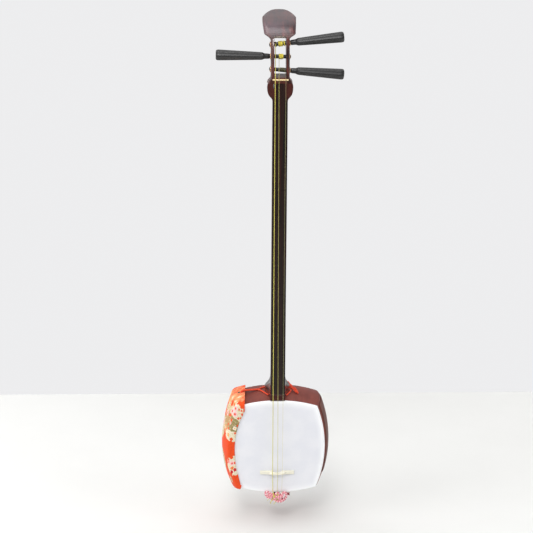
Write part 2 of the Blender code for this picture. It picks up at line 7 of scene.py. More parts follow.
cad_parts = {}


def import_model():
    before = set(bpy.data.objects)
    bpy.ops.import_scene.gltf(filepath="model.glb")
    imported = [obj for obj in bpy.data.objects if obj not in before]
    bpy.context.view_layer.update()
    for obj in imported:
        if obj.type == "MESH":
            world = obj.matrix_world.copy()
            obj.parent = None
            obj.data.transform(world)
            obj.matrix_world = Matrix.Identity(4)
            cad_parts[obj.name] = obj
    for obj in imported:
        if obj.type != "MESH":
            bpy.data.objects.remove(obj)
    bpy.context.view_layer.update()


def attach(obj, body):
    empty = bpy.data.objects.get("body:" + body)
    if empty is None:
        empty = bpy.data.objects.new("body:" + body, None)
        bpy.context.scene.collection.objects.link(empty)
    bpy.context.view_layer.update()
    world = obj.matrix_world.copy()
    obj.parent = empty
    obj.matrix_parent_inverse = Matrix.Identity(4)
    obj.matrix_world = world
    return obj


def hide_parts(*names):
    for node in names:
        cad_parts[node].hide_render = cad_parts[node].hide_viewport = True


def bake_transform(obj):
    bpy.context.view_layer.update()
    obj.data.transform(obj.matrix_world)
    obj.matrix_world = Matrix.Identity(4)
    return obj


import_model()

MM = 0.001
ROOT = "instrument"

# ------------------------------------------------------------ sizes shared with the frame (mm)
BODY_CZ, RIM_X, RIM_Z, COR_X, COR_Z = 107.0, 93.0, 97.0, 77.0, 85.5
HALF_D, BULGE, SKIN_Y, NECK_Y, NUT_Z = 46.0, 11.0, 47.2, -51.0, 827.2
HEAD_JOINT_Z, BRIDGE_Z, BRIDGE_TOP_Y, SLOT_HALF = 820.9, 53.0, -56.8, 10.8
PEGS = {"peg_1": (890.3, -26, 6.3, 1), "peg_2": (867.9, -31, 1.2, -1), "peg_3": (844.5, -35.5, -3.9, 1)}
SAWARI = (-11.3, 816)
R_TOP = (COR_X ** 2 + (RIM_Z - COR_Z) ** 2) / (2 * (RIM_Z - COR_Z))
R_SIDE = (COR_Z ** 2 + (RIM_X - COR_X) ** 2) / (2 * (RIM_X - COR_X))
C_TOP, C_SIDE = RIM_Z - R_TOP, RIM_X - R_SIDE


# ------------------------------------------------------------ node helpers
class Nodes:
    """Short calls for building a node tree."""

    def __init__(self, tree):
        self.tree = tree

    def put(self, socket, value):
        """Link a socket to another one, or set it to a plain value."""
        if isinstance(value, bpy.types.NodeSocket):
            self.tree.links.new(value, socket)
        elif isinstance(value, tuple) and socket.type == "RGBA":
            socket.default_value = (*value, 1)
        else:
            socket.default_value = value

    def node(self, kind, **settings):
        n = self.tree.nodes.new(kind)
        for key, value in settings.items():
            setattr(n, key, value)
        return n

    def fed(self, kind, sockets, **settings):
        """The outputs of a new shader node, its inputs filled in order or, from a dictionary, by name."""
        n = self.node("ShaderNode" + kind, **settings)
        for key, value in sockets.items() if isinstance(sockets, dict) else enumerate(sockets):
            self.put(n.inputs[key], value)
        return n.outputs

    def math(self, op, a, b=0.0, c=0.0, clamp=False):
        return self.fed("Math", (a, b, c), operation=op, use_clamp=clamp)[0]

    def mul(self, a, b):
        return self.math("MULTIPLY", a, b)

    def add(self, a, b, clamp=False):
        return self.math("ADD", a, b, clamp=clamp)

    def sub(self, a, b):
        return self.math("SUBTRACT", a, b)

    def madd(self, a, b, c):
        """a times b, plus c."""
        return self.math("MULTIPLY_ADD", a, b, c)

    def vec(self, op, a, b):
        return self.fed("VectorMath", (a, b), operation=op)[0]

    def xyz(self, x, y, z=0.0):
        return self.fed("CombineXYZ", (x, y, z))[0]

    def split(self, v):
        return self.fed("SeparateXYZ", (v,))

    def place(self):
        return self.fed("TexCoord", ())["Object"]

    def attr(self, name):
        return self.fed("Attribute", (), attribute_name=name)["Fac"]

    def noise(self, v, scale=1.0, detail=3.0, rough=0.5, distortion=0.0, out="Fac"):
        values = {"Vector": v, "Scale": scale, "Detail": detail, "Roughness": rough, "Distortion": distortion}
        return self.fed("TexNoise", values)[out]

    def grain(self, v, scales, detail=3.0, rough=0.5):
        """Noise drawn out along the axes: scales are its cells in a metre of x, y and z."""
        return self.noise(self.xyz(*(self.mul(a, b) for a, b in zip(v, scales))), 1.0, detail, rough)

    def cells(self, v, scale, feature="F1"):
        return self.fed("TexVoronoi", {"Vector": v, "Scale": scale}, feature=feature)["Distance"]

    def mix(self, factor, a, b):
        return self.fed("Mix", {"Factor": factor, 6: a, 7: b}, data_type="RGBA")[2]

    def step(self, value, low, high):
        """Smooth rise from 0 at low to 1 at high, which may also lie below low."""
        values = {"Value": value, "From Min": low, "From Max": high}
        return self.fed("MapRange", values, interpolation_type="SMOOTHSTEP")[0]


class Material(Nodes):
    """A material with one principled surface."""

    def __init__(self, name):
        self.mat = bpy.data.materials.get(name) or bpy.data.materials.new(name)
        self.mat.use_nodes = True
        super().__init__(self.mat.node_tree)
        self.tree.nodes.clear()
        out = self.node("ShaderNodeOutputMaterial")
        self.bsdf = self.node("ShaderNodeBsdfPrincipled")
        self.put(out.inputs["Surface"], self.bsdf.outputs[0])

    def bump(self, height, distance, strength):
        values = {"Height": height, "Distance": distance, "Strength": strength}
        self.put(self.bsdf.inputs["Normal"], self.fed("Bump", values)[0])

    def finish(self, colour, rough, **sockets):
        """Fill the surface's sockets; an underscore in a name stands for a space."""
        for key, value in {"Base Color": colour, "Roughness": rough, **sockets}.items():
            self.put(self.bsdf.inputs[key.replace("_", " ")], value)
        return self.mat


# ------------------------------------------------------------ woods
def rosewood(name, red, dark, neck, gloss, coat):
    """Dark heavy wood: red-brown figure with near-black streaks running along the neck."""
    m = Material(name)
    x, y, z = m.split(m.place())
    wander = m.grain((x, y, z), (12, 12, 5))
    lean = m.madd(wander, 0.010, m.madd(z, 0.0 if neck else 0.22, x))
    grain = m.grain((lean, y, z), (330, 120, 9), 5, 0.6)
    fine = m.grain((lean, y, z), (1500, 800, 45), 3, 0.6)
    streak = m.grain((lean, y, z), (95, 60, 4))
    if neck:
        # the heart of the plank is nearly black; the red shows at the swelling under the head
        heart = m.mul(m.step(m.math("ABSOLUTE", m.sub(x, 0.0005)), 0.0065, 0.0105), m.step(z, 0.784, 0.802))
        tone = m.add(m.mul(m.step(grain, 0.35, 0.7), 0.22), m.mul(heart, 0.6))
        tone = m.add(tone, m.mul(m.step(streak, 0.55, 0.72), 0.2), clamp=True)
    else:
        # the red grain shows more on the right, where less painted sheen lies over it
        right = m.step(x, -0.012, 0.022)
        tone = m.add(m.mul(m.step(streak, 0.40, 0.60), 0.45),
                     m.mul(m.step(grain, 0.46, 0.66), m.madd(right, 0.4, 0.35)), clamp=True)
    colour = m.mix(tone, dark, red)
    colour = m.mix(m.mul(m.step(fine, 0.42, 0.75), 0.4), colour, tuple(c * 0.45 for c in dark))
    if neck:
        # the cut under the playing face and the low heel show the red wood; the left side of the heel's flare
        # gets a painted highlight, a light grey standing for its reflection
        foot = m.mul(m.step(z, 0.2215, 0.2195), m.step(y, -0.028, -0.040))
        colour = m.mix(m.mul(foot, 0.9), colour, (0.050, 0.007, 0.006))
        # painted reflection: light grey mixed into the left side of the heel's flare
        painted_flare_highlight = m.mul(m.mul(m.step(z, 0.224, 0.234), m.step(z, 0.272, 0.258)), m.step(x, -0.0142, -0.0150))
        colour = m.mix(m.mul(painted_flare_highlight, 0.6), colour, (0.22, 0.21, 0.21))
        side = m.mul(m.step(z, 0.228, 0.215), m.step(m.math("ABSOLUTE", x), 0.0148, 0.0165))
        colour = m.mix(m.mul(side, 0.75), colour, (0.085, 0.022, 0.018))
    else:
        # painted reflection: the bent-back head gets a silvery grey painted in, weaker on its right side,
        # standing for the sheen of its lacquer; the crown is painted greyer still
        top = m.step(z, 0.920, 0.938)
        sheen_weaker_right = m.mul(right, m.sub(1.0, top))
        pale = m.mul(m.step(z, 0.896, 0.916), m.madd(sheen_weaker_right, -0.35, 0.58))
        colour = m.mix(pale, colour, m.mix(top, (0.195, 0.140, 0.165), (0.135, 0.118, 0.128)))
    m.bump(m.add(grain, m.mul(fine, 0.6)), 0.00004, 0.4)
    return m.finish(colour, m.madd(fine, 0.12, 0.30 if gloss < 0.35 else 0.19), Specular_IOR_Level=gloss,
                    Coat_Weight=coat, Coat_Roughness=0.12 if neck else 0.10)


def cut_wood_painted_sheen():
    """Wood inside the peg box, left as it was cut; its colour is painted light to stand in for the sheen on
    this face, which looks down.
    """
    m = Material("peg_box_cut_wood_painted_sheen")
    grain = m.grain(m.split(m.place()), (500, 60, 500), 4, 0.6)
    m.bump(grain, 0.00006, 0.4)
    # painted reflection: light tones lifting this down-facing face as if it caught the bright floor
    return m.finish(m.mix(m.step(grain, 0.35, 0.7), (0.50, 0.42, 0.39), (0.68, 0.60, 0.56)), 0.6,
                    Specular_IOR_Level=0.2)


def quince_wood():
    """Red-brown body wood: dull film finish, fine pores and a faint figure across the boards."""
    m = Material("body_wood")
    v = m.split(m.place())
    figure = m.grain(v, (55, 26, 55), 4, 0.55)
    pores = m.grain(v, (900, 2600, 900), 3, 0.65)
    broad = m.grain(v, (11, 16, 11), 2)
    colour = m.mix(m.step(figure, 0.3, 0.72), (0.150, 0.034, 0.026), (0.25, 0.060, 0.043))
    colour = m.mix(m.mul(m.step(broad, 0.4, 0.7), 0.5), colour, (0.19, 0.036, 0.026))
    colour = m.mix(m.mul(m.step(pores, 0.52, 0.75), 0.4), colour, (0.085, 0.018, 0.014))
    m.bump(pores, 0.00004, 0.4)
    return m.finish(colour, m.madd(figure, 0.12, 0.42), Specular_IOR_Level=0.35)


def ebony():
    """Near-black peg wood, polished, with a barely visible grain along the peg."""
    m = Material("peg_ebony")
    grain = m.grain(m.split(m.place()), (45, 420, 420), 3, 0.55)
    colour = m.mix(m.step(grain, 0.35, 0.8), (0.0165, 0.0165, 0.017), (0.026, 0.0255, 0.0255))
    m.bump(grain, 0.00001, 0.25)
    return m.finish(colour, m.madd(grain, 0.08, 0.30), Specular_IOR_Level=0.44)


def skin_hide():
    """Stretched skin: whiter where it is glued on the wooden rim, faintly mottled over the hollow."""
    m = Material("drum_skin")
    p = m.place()
    blotch = m.noise(p, 26.0, 4, 0.55)
    cells = m.noise(p, 420.0, 3, 0.6)
    inner = m.mix(m.step(blotch, 0.35, 0.7), (0.755, 0.765, 0.815), (0.80, 0.805, 0.845))
    colour = m.mix(m.attr("rim"), inner, (0.93, 0.94, 0.96))
    colour = m.mix(m.mul(m.step(cells, 0.6, 0.8), 0.10), colour, (0.66, 0.66, 0.70))
    m.bump(m.add(m.mul(cells, 0.5), blotch), 0.00008, 0.35)
    return m.finish(colour, m.madd(cells, 0.12, 0.46), Specular_IOR_Level=0.35)


def twisted(name, light, dark, twist, turns, rough=0.55, fleck=None, sheen=0.2, upper=None):
    """Twisted thread or cord: the plies run round it as a helix."""
    m = Material(name)
    angle = m.math("ARCTAN2", m.attr("sa"), m.attr("ca"))
    phase = m.madd(m.attr("along"), twist, m.mul(angle, turns))
    wave = m.madd(m.math("SINE", phase), 0.5, 0.5)
    fibre = m.noise(m.xyz(m.mul(phase, 1.7), m.mul(m.attr("along"), 0.6)), 2.0, 3, 0.6)
    colour = m.mix(m.step(wave, 0.0, 0.55), dark, light)
    if fleck:
        spots = m.madd(m.attr("along"), -twist * 0.8, m.mul(angle, turns))
        spotted = m.mul(m.step(m.math("SINE", spots), 0.35, 0.8), m.step(wave, 0.35, 0.8))
        colour = m.mix(spotted, colour, fleck)
    colour = m.mix(m.mul(fibre, 0.25), colour, dark)
    if upper:
        # darker above the body, along the neck
        colour = m.mix(m.mul(m.step(m.split(m.place())[2], 0.205, 0.235), 0.75), colour, upper)
    m.bump(m.add(wave, m.mul(fibre, 0.3)), 0.00012, 0.6)
    return m.finish(colour, rough, Sheen_Weight=sheen, Sheen_Roughness=0.4, Specular_IOR_Level=0.3)


def bone(name, base, warm, rough):
    """Ivory or horn: a dense grain along x between two close tones."""
    m = Material(name)
    grain = m.grain(m.split(m.place()), (90, 500, 500), 4, 0.6)
    m.bump(grain, 0.00003, 0.4)
    return m.finish(m.mix(m.step(grain, 0.35, 0.72), base, warm), rough, Specular_IOR_Level=0.5,
                    Coat_Weight=0.2, Coat_Roughness=0.2)


def metal(name, colour, dull, rough):
    """Metal with scuffed, duller spots."""
    m = Material(name)
    scuff = m.noise(m.place(), 900.0, 3, 0.6)
    return m.finish(m.mix(m.step(scuff, 0.45, 0.8), colour, dull), m.madd(scuff, 0.2, rough), Metallic=1.0)


def rubber():
    """Brown sheet rubber, paler where it is worn."""
    m = Material("knee_rubber_brown")
    p = m.place()
    cells = m.noise(p, 1300.0, 2, 0.6)
    worn = m.noise(p, 60.0, 3, 0.5)
    colour = m.mix(m.step(worn, 0.4, 0.75), (0.100, 0.029, 0.020), (0.165, 0.053, 0.036))
    m.bump(cells, 0.00006, 0.4)
    return m.finish(colour, m.madd(worn, 0.2, 0.42), Specular_IOR_Level=0.3)


# ------------------------------------------------------------ patterned cloth of the arm cover
ORANGE = (0.80, 0.080, 0.016)
CREAM = (0.74, 0.66, 0.44)
PINK = (0.88, 0.60, 0.60)
PEACH = (0.82, 0.33, 0.13)
CORAL = (0.84, 0.135, 0.055)
GOLD = (0.80, 0.45, 0.13)
TAN = (0.42, 0.30, 0.14)
OLIVE = (0.16, 0.19, 0.06)
BROWN = (0.52, 0.27, 0.10)
RED = (0.80, 0.085, 0.03)
CRIMSON = (0.56, 0.014, 0.030)
WHITE = (0.90, 0.88, 0.78)

# colour of the fine veins on each ground colour
VEINS = {CORAL: CREAM, PEACH: ORANGE, CREAM: BROWN, TAN: OLIVE, BROWN: CREAM, OLIVE: CREAM, PINK: CREAM,
         WHITE: BROWN, GOLD: CREAM}
# scalloped patches, in mm on the cloth: across, along, radius across, radius along, scallops, turn, ground,
# mottling
CLOUDS = ((54, 11, 37, 15, 9, 0.3, CORAL, PEACH), (82, 25, 15, 11, 7, 0.1, PEACH, GOLD),
          (42, 34, 21, 17, 8, 0.6, CREAM, BROWN), (13, 22, 22, 18.5, 8, 0.2, CREAM, WHITE),
          (13, 51.5, 22, 17, 9, 0.5, TAN, OLIVE), (35, 52, 17, 18, 7, 0.3, BROWN, TAN),
          (9, 74.5, 25, 12, 7, 1, CREAM, WHITE), (60, 74, 21, 22, 8, 0.4, CREAM, TAN),
          (6, 140, 17, 23, 7, 0, CREAM, WHITE), (52, 134, 19, 22, 8, 0.9, CREAM, OLIVE),
          (26, 168, 6.5, 8, 5, 0.2, CREAM, OLIVE), (84, 108, 17, 26, 8, 0.2, CREAM, TAN),
          (66, 184, 17, 18, 7, 0.6, CREAM, TAN))
# flowers by colour: petal colour, heart colour, then across, along, radius, petals, turn of each
FLOWERS = (
    (PEACH, CREAM, ((50, 15, 8, 5, 0.7), (40, 6, 5, 5, 0.4), (33, 12, 6, 5, 0), (36, 68, 6, 5, 0.6))),
    (PEACH, GOLD, ((74, 18, 8, 5, 0.2), (18, 75, 4, 5, 0.6), (82, 100, 6, 5, 0), (62, 24, 6, 5, 0.3))),
    (PEACH, RED, ((30, 16, 4.5, 5, 0.5), (9.5, 143.5, 4, 6, 0))),
    (WHITE, GOLD, ((6.5, 55.5, 4.4, 4, 0.8),)),
    (PINK, RED, ((21.5, 18.5, 5.6, 5, 0.2), (27, 29, 6, 5, 0.8), (17, 28.5, 5.8, 5, 0.4),
                 (19, 50.5, 3, 4, 0.2), (14.5, 129.5, 4.2, 5, 0.2), (8, 133.5, 5, 5, 0.7),
                 (44, 42, 6, 5, 0.1), (58, 66, 7, 5, 0.3), (50, 128, 6.5, 5, 0.2), (86, 118, 6, 5, 0.8),
                 (66, 184, 6, 5, 0.4), (88, 28, 6, 5, 0.2))),
    (CORAL, PEACH, ((62, 4, 6, 5, 0.9), (88, 6, 6, 5, 0.1), (72, 8, 5, 5, 0.5))),
    (RED, ORANGE, ((13, 14.5, 2.6, 4, 0.1), (7, 12, 2.8, 4, 0.6), (2.5, 18.5, 3.2, 5, 0.3),
                   (6.5, 31.5, 2.8, 4, 0.9), (3, 28, 2, 4, 0), (2.5, 47.5, 2.4, 4, 0), (21, 63, 3, 5, 0.1),
                   (3.5, 66, 2.5, 4, 0.4), (32, 41, 2.6, 4, 0.3), (27, 57, 2.4, 4, 0.6))),
    (ORANGE, ORANGE, ((16, 1, 9, 4, 0.8), (24, 8, 3.4, 4, 0.2), (19, 44, 3.4, 4, 0.4), (9, 81, 3.8, 4, 0),
                      (9, 85, 2.6, 3, 0.2), (8, 120.5, 4, 4, 0), (8, 116.5, 2.6, 3, 0.2),
                      (15, 124.5, 3, 4, 0.5), (1.8, 134.5, 3, 3, 0.9), (16, 156, 4.2, 5, 0.3),
                      (40, 20, 6, 4, 0.5), (28, 38, 3.4, 4, 0.8), (66, 82, 5.5, 5, 0.9))),
    (CRIMSON, CRIMSON, ((4.4, 149.5, 3.9, 5, 0.3), (12.4, 151, 3.9, 5, 0.9), (58, 144, 5, 5, 0.5))))


def group_bloom():
    """Node group: a rosette of rounded petals about a centre; gives its edge value and its radius."""
    tree = bpy.data.node_groups.new("bloom", "ShaderNodeTree")
    for name, kind in (("Place", "Vector"), ("Centre", "Vector"), ("Radius", "Vector"), ("Petals", "Float"),
                       ("Turn", "Float"), ("Depth", "Float")):
        tree.interface.new_socket(name, in_out="INPUT", socket_type="NodeSocket" + kind)
    for name in ("Edge", "Distance"):
        tree.interface.new_socket(name, in_out="OUTPUT", socket_type="NodeSocketFloat")
    g = Nodes(tree)
    given, sink = g.node("NodeGroupInput").outputs, g.node("NodeGroupOutput").inputs
    x, y, _ = g.split(g.vec("DIVIDE", g.vec("SUBTRACT", given["Place"], given["Centre"]), given["Radius"]))
    dist = g.math("SQRT", g.add(g.mul(x, x), g.mul(y, y)))
    half = g.mul(g.add(g.math("ARCTAN2", y, x), given["Turn"]), g.mul(given["Petals"], 0.5))
    wave = g.math("ABSOLUTE", g.math("COSINE", half))
    reach = g.madd(g.math("POWER", wave, 0.6), given["Depth"], g.sub(1.0, given["Depth"]))
    g.put(sink["Edge"], g.sub(reach, dist))
    g.put(sink["Distance"], dist)
    return tree


def cover_cloth():
    """Orange damask with scalloped patches and small flowers, drawn from the cloth's own cu and cv in mm."""
    m = Material("cover_cloth")
    bloom = group_bloom()
    flat = m.xyz(m.attr("cu"), m.attr("cv"))
    ripple = m.noise(flat, 0.11, 2, 0.5, out="Color")
    place = m.vec("ADD", flat, m.vec("MULTIPLY", m.vec("SUBTRACT", ripple, (0.5, 0.5, 0.5)), (2.4, 2.4, 0)))

    def rosette(at, size, petals, turn, depth):
        values = {"Place": place, "Centre": (*at, 0), "Radius": (*size, 1), "Petals": petals, "Turn": turn,
                  "Depth": depth}
        return m.fed("Group", values, node_tree=bloom)

    # damask figure woven into the plain ground
    figure = m.cells(flat, 0.22, feature="SMOOTH_F1")
    vines = m.noise(flat, 0.55, 3, 0.5, 1.2)
    damask = m.mul(m.step(figure, 0.25, 0.6), m.step(vines, 0.42, 0.6))
    colour = m.mix(damask, ORANGE, (0.74, 0.062, 0.016))
    # scalloped patches: mottled, strewn with small blossoms and leaves, edged with gold
    mottle = m.noise(flat, 0.42, 3, 0.6)
    veins = m.mul(m.step(m.math("ABSOLUTE", m.sub(vines, 0.5)), 0.022, 0.008), 0.7)
    specks = m.cells(place, 0.30)
    leaf = m.cells(place, 0.19)
    for cu, cv, ru, rv, lobes, turn, base, second in CLOUDS:
        edge = rosette((cu, cv), (ru, rv), lobes, turn, 0.2)["Edge"]
        fill = m.mix(m.step(mottle, 0.46, 0.62), base, second)
        fill = m.mix(veins, fill, VEINS[base])
        if second in (OLIVE, TAN):
            fill = m.mix(m.mul(m.step(leaf, 0.30, 0.22), 0.7), fill, CREAM)
        fill = m.mix(m.mul(m.step(specks, 0.13, 0.09), m.step(edge, 0.1, 0.25)), fill, RED)
        fill = m.mix(m.mul(m.step(edge, 0.045, 0.02), 0.4), fill, (0.72, 0.52, 0.22))
        colour = m.mix(m.step(edge, 0.0, 0.02), colour, fill)
    for petal, heart, places in FLOWERS:
        edge = near = None
        for cu, cv, r, petals, turn in places:
            out = rosette((cu, cv), (r, r * 1.12), petals, turn, 0.34)
            edge = out["Edge"] if edge is None else m.math("MAXIMUM", edge, out["Edge"])
            near = out["Distance"] if near is None else m.math("MINIMUM", near, out["Distance"])
        tone = m.mix(m.step(near, 0.3, 0.85), tuple(0.6 * a + 0.4 * b for a, b in zip(petal, heart)), petal)
        tone = m.mix(m.step(near, 0.36, 0.28), tone, heart)
        colour = m.mix(m.step(edge, 0.0, 0.09), colour, tone)
    # weave
    warp = m.math("SINE", m.mul(m.attr("cu"), 11.0))
    weft = m.math("SINE", m.mul(m.attr("cv"), 11.0))
    weave = m.mul(warp, weft)
    colour = m.mix(m.mul(m.step(weave, 0.2, 1.0), 0.08), colour, (0.35, 0.03, 0.01))
    m.bump(m.add(m.mul(weave, 0.35), m.mul(damask, 0.5)), 0.00012, 0.5)
    return m.finish(colour, m.madd(damask, -0.14, 0.74), Sheen_Weight=0.06, Sheen_Roughness=0.45,
                    Specular_IOR_Level=0.14)


def plain_back():
    """Plain woven lining of the arm cover."""
    m = Material("cover_lining")
    weave = m.noise(m.place(), 1800.0, 2, 0.5)
    m.bump(weave, 0.00008, 0.4)
    return m.finish(m.mix(m.step(weave, 0.4, 0.7), (0.62, 0.06, 0.02), (0.42, 0.035, 0.014)), 0.8,
                    Sheen_Weight=0.2)


# ------------------------------------------------------------ mesh helpers
def linked(name, data):
    """A new object in the scene."""
    obj = bpy.data.objects.new(name, data)
    bpy.context.scene.collection.objects.link(obj)
    return obj


def solid(name, verts, faces, attrs=None):
    """A closed mesh from points in millimetres, with point attributes and its normals turned outward."""
    mesh = bpy.data.meshes.new(name)
    mesh.from_pydata([(x * MM, y * MM, z * MM) for x, y, z in verts], [], faces)
    for key, values in (attrs or {}).items():
        mesh.attributes.new(key, "FLOAT", "POINT").data.foreach_set("value", [float(v) for v in values])
    bm = bmesh.new()
    bm.from_mesh(mesh)
    bmesh.ops.recalc_face_normals(bm, faces=bm.faces)
    bm.to_mesh(mesh)
    bm.free()
    return linked(name, mesh)


def make(name, verts, faces, mat, body=ROOT, slot=None, stands_for=(), sharp=38.0, attrs=None, mats=()):
    """A piece of the object: its mesh, materials, body and the nodes that it replaces; slot is not used."""
    obj = solid(name, verts, faces, attrs)
    for one in (mat, *mats):
        obj.data.materials.append(one)
    soften(obj, sharp)
    if body:
        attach(obj, body)
    if stands_for:
        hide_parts(*stands_for)
    return obj


def soften(obj, sharp):
    """Smooth shading with hard edges where faces meet at more than sharp degrees."""
    bm = bmesh.new()
    bm.from_mesh(obj.data)
    limit = math.radians(sharp)
    for f in bm.faces:
        f.smooth = True
    for e in bm.edges:
        e.smooth = not (len(e.link_faces) == 2 and e.calc_face_angle(0.0) > limit)
    bm.to_mesh(obj.data)
    bm.free()


def mirrored(points):
    """The other half of a symmetrical outline, in reverse order."""
    return [(-x, y) for x, y in reversed(points)]


def strip(a, b, n):
    """Four-sided faces between two rings of n points that start at a and b."""
    return [(a + k, a + (k + 1) % n, b + (k + 1) % n, b + k) for k in range(n)]


def loft(rings, caps=True):
    """Points and faces of a skin over rings with the same number of points."""
    n = len(rings[0])
    last = (len(rings) - 1) * n
    faces = [face for a in range(0, last, n) for face in strip(a, a + n, n)]
    if caps:
        faces += [tuple(range(n)), tuple(range(last, last + n))]
    return [p for ring in rings for p in ring], faces


def spline(table, count):
    """Rows of numbers joined by a smooth curve and read at count even steps of the row number."""
    rows = [[float(v) for v in row] for row in table]
    last = len(rows) - 1
    out = []
    for i in range(count):
        t = i / (count - 1) * last
        k = min(int(t), last - 1)
        f = t - k
        near = (rows[max(k - 1, 0)], rows[k], rows[k + 1], rows[min(k + 2, last)])
        out.append([0.5 * (2 * b + (c - a) * f + (2 * a - 5 * b + 4 * c - d) * f * f
                           + (3 * b - a - 3 * c + d) * f ** 3) for a, b, c, d in zip(*near)])
    return out


def resample(points, step):
    """Points a fixed step apart along a smooth curve through the given ones."""
    pts = [Vector(p) for p in spline(points, max(8, len(points) * 10))]
    out, left = [pts[0]], step
    for a, b in zip(pts, pts[1:]):
        d = (b - a).length
        if d < 1e-9:
            continue
        while left <= d:
            a = a + (b - a) * (left / d)
            d -= left
            left = step
            out.append(a)
        left -= d
    out.append(pts[-1])
    return out


def sweep(pts, n, radius_at):
    """Ring of n points carried along pts, its radius from the step, angle and length so far.

    The attributes along, ca and sa give a thread's material the place on its helix.
    """
    rings, along = [], []
    angles = [2 * math.pi * k / n for k in range(n)]
    last, side, s = len(pts) - 1, None, 0.0
    for i, p in enumerate(pts):
        t = (pts[min(i + 1, last)] - pts[max(i - 1, 0)]).normalized()
        if side is None:
            side = t.orthogonal().normalized()
        side = (side - t * side.dot(t)).normalized()
        up = t.cross(side)
        s += (p - pts[i - 1]).length if i else 0.0
        ring = []
        for a in angles:
            r = radius_at(i, a, s)
            ring.append(tuple(p + side * (r * math.cos(a)) + up * (r * math.sin(a))))
        rings.append(ring)
        along += [s] * n
    turns = {"ca": [math.cos(a) for a in angles] * len(pts), "sa": [math.sin(a) for a in angles] * len(pts)}
    return (*loft(rings), {"along": along, **turns})


def thread(pts, radius, n):
    """Plain round thread straight from point to point."""
    return sweep(pts, n, lambda i, a, s: radius)


def rope(points, radius, step=1.0, n=12, plies=0, pitch=8.0, depth=0.12, taper=0):
    """Cord along a curve; plies gives it a twisted outline and taper narrows that many steps at each end."""
    pts = resample(points, step)
    if len(pts) > 2 and (pts[-1] - pts[-2]).length < step * 0.3:
        pts.pop(-2)
    last = len(pts) - 1

    def radius_at(i, a, s):
        r = radius
        if taper and (i < taper or i > last - taper):
            r = radius * (0.45 + 0.55 * min(i, last - i) / taper)
        if plies:
            r = r * (1 - depth + depth * abs(math.cos(0.5 * plies * a - math.pi * s / pitch * plies / 2)))
        return r

    return sweep(pts, n, radius_at)


def merge(parts):
    """Several sweeps as one set of points, faces and attributes."""
    verts, faces, attrs = [], [], {}
    for v, f, a in parts:
        base = len(verts)
        verts += v
        faces += [tuple(i + base for i in face) for face in f]
        for key, values in a.items():
            attrs.setdefault(key, []).extend(values)
    return verts, faces, attrs


def cord(name, parts, mat, slot, **rest):
    """One piece made of several sweeps."""
    verts, faces, attrs = merge(parts)
    return make(name, verts, faces, mat, slot=slot, attrs=attrs, sharp=80, **rest)


def turned(profile, origin, axis, n=36):
    """Rings of a profile of (along, radius[, shape]) turned about an axis."""
    w = Vector(axis).normalized()
    u = w.orthogonal().normalized()
    v = w.cross(u)
    rings = []
    for along, radius, *shape in profile:
        ring = []
        for k in range(n):
            a = 2 * math.pi * k / n
            r = radius * (shape[0](a) if shape else 1.0)
            ring.append(tuple(Vector(origin) + w * along + u * (r * math.cos(a)) + v * (r * math.sin(a))))
        rings.append(ring)
    return rings


def close_loop(rings):
    """A skin over rings whose last one joins the first, as on a ring or a collar."""
    verts, faces = loft(rings, caps=False)
    n = len(rings[0])
    return verts, faces + strip(len(verts) - n, 0, n)


def boolean(obj, cutter):
    """Cut a closed set of points and faces out of an object."""
    tool = solid("cutter", *cutter)
    mod = obj.modifiers.new("cut", "BOOLEAN")
    mod.operation, mod.solver, mod.object = "DIFFERENCE", "EXACT", tool
    bpy.context.view_layer.update()
    made = bpy.data.meshes.new_from_object(obj.evaluated_get(bpy.context.evaluated_depsgraph_get()))
    used_up = (obj.data, tool.data)
    obj.modifiers.remove(mod)
    obj.data = made
    bpy.data.objects.remove(tool, do_unlink=True)
    for mesh in used_up:
        bpy.data.meshes.remove(mesh)


def bevel(obj, width, segments, angle):
    """Small bevel on the edges that meet at more than the angle in degrees."""
    mod = obj.modifiers.new("edges", "BEVEL")
    mod.width, mod.segments, mod.limit_method = width * MM, segments, "ANGLE"
    mod.angle_limit = math.radians(angle)
    mod.harden_normals = False


# ------------------------------------------------------------ body box
def swell(y):
    """How far the bulging boards stand out at a depth y."""
    return BULGE * max(0.0, 1 - (y / HALF_D) ** 2)


def corner(off):
    """Where the top arc and the right arc meet, from the box's centre, off outside the skin's outline."""
    ra, rb = R_TOP + off, R_SIDE + off
    d = math.hypot(C_SIDE, C_TOP)
    a = (ra * ra - rb * rb + d * d) / (2 * d)
    h = math.sqrt(ra * ra - a * a)
    ux, uz = C_SIDE / d, -C_TOP / d
    return max([(a * ux - w * h * uz, C_TOP + a * uz + w * h * ux) for w in (-1, 1)], key=min)


def rim(side, u, off, gap=0.0):
    """Point on one side's arc: u runs from -1 to 1 between its corners, gap shortens the arc there."""
    cx, cz = corner(off)
    if side in ("top", "bottom"):
        a = u * (math.atan2(cx, cz - C_TOP) - gap / (R_TOP + off))
        x, z = (R_TOP + off) * math.sin(a), (R_TOP + off) * math.cos(a) + C_TOP
        return (x, BODY_CZ + (z if side == "top" else -z))
    a = u * (math.atan2(cz, cx - C_SIDE) - gap / (R_SIDE + off))
    x, z = (R_SIDE + off) * math.cos(a) + C_SIDE, (R_SIDE + off) * math.sin(a)
    return (x if side == "right" else -x, BODY_CZ + z)


def outline(off, steps=28):
    """The whole outline, off outside the skin's, from the top left corner."""
    pts = []
    for side, way in (("top", 1), ("right", -1), ("bottom", -1), ("left", 1)):
        pts += [rim(side, way * (2 * i / steps - 1), off) for i in range(steps)]
    return pts


def board_top(x, y, off=0.0):
    """Height of the top board's outer face."""
    r = R_TOP + swell(y) + off
    return BODY_CZ + math.sqrt(r * r - x * x) + C_TOP


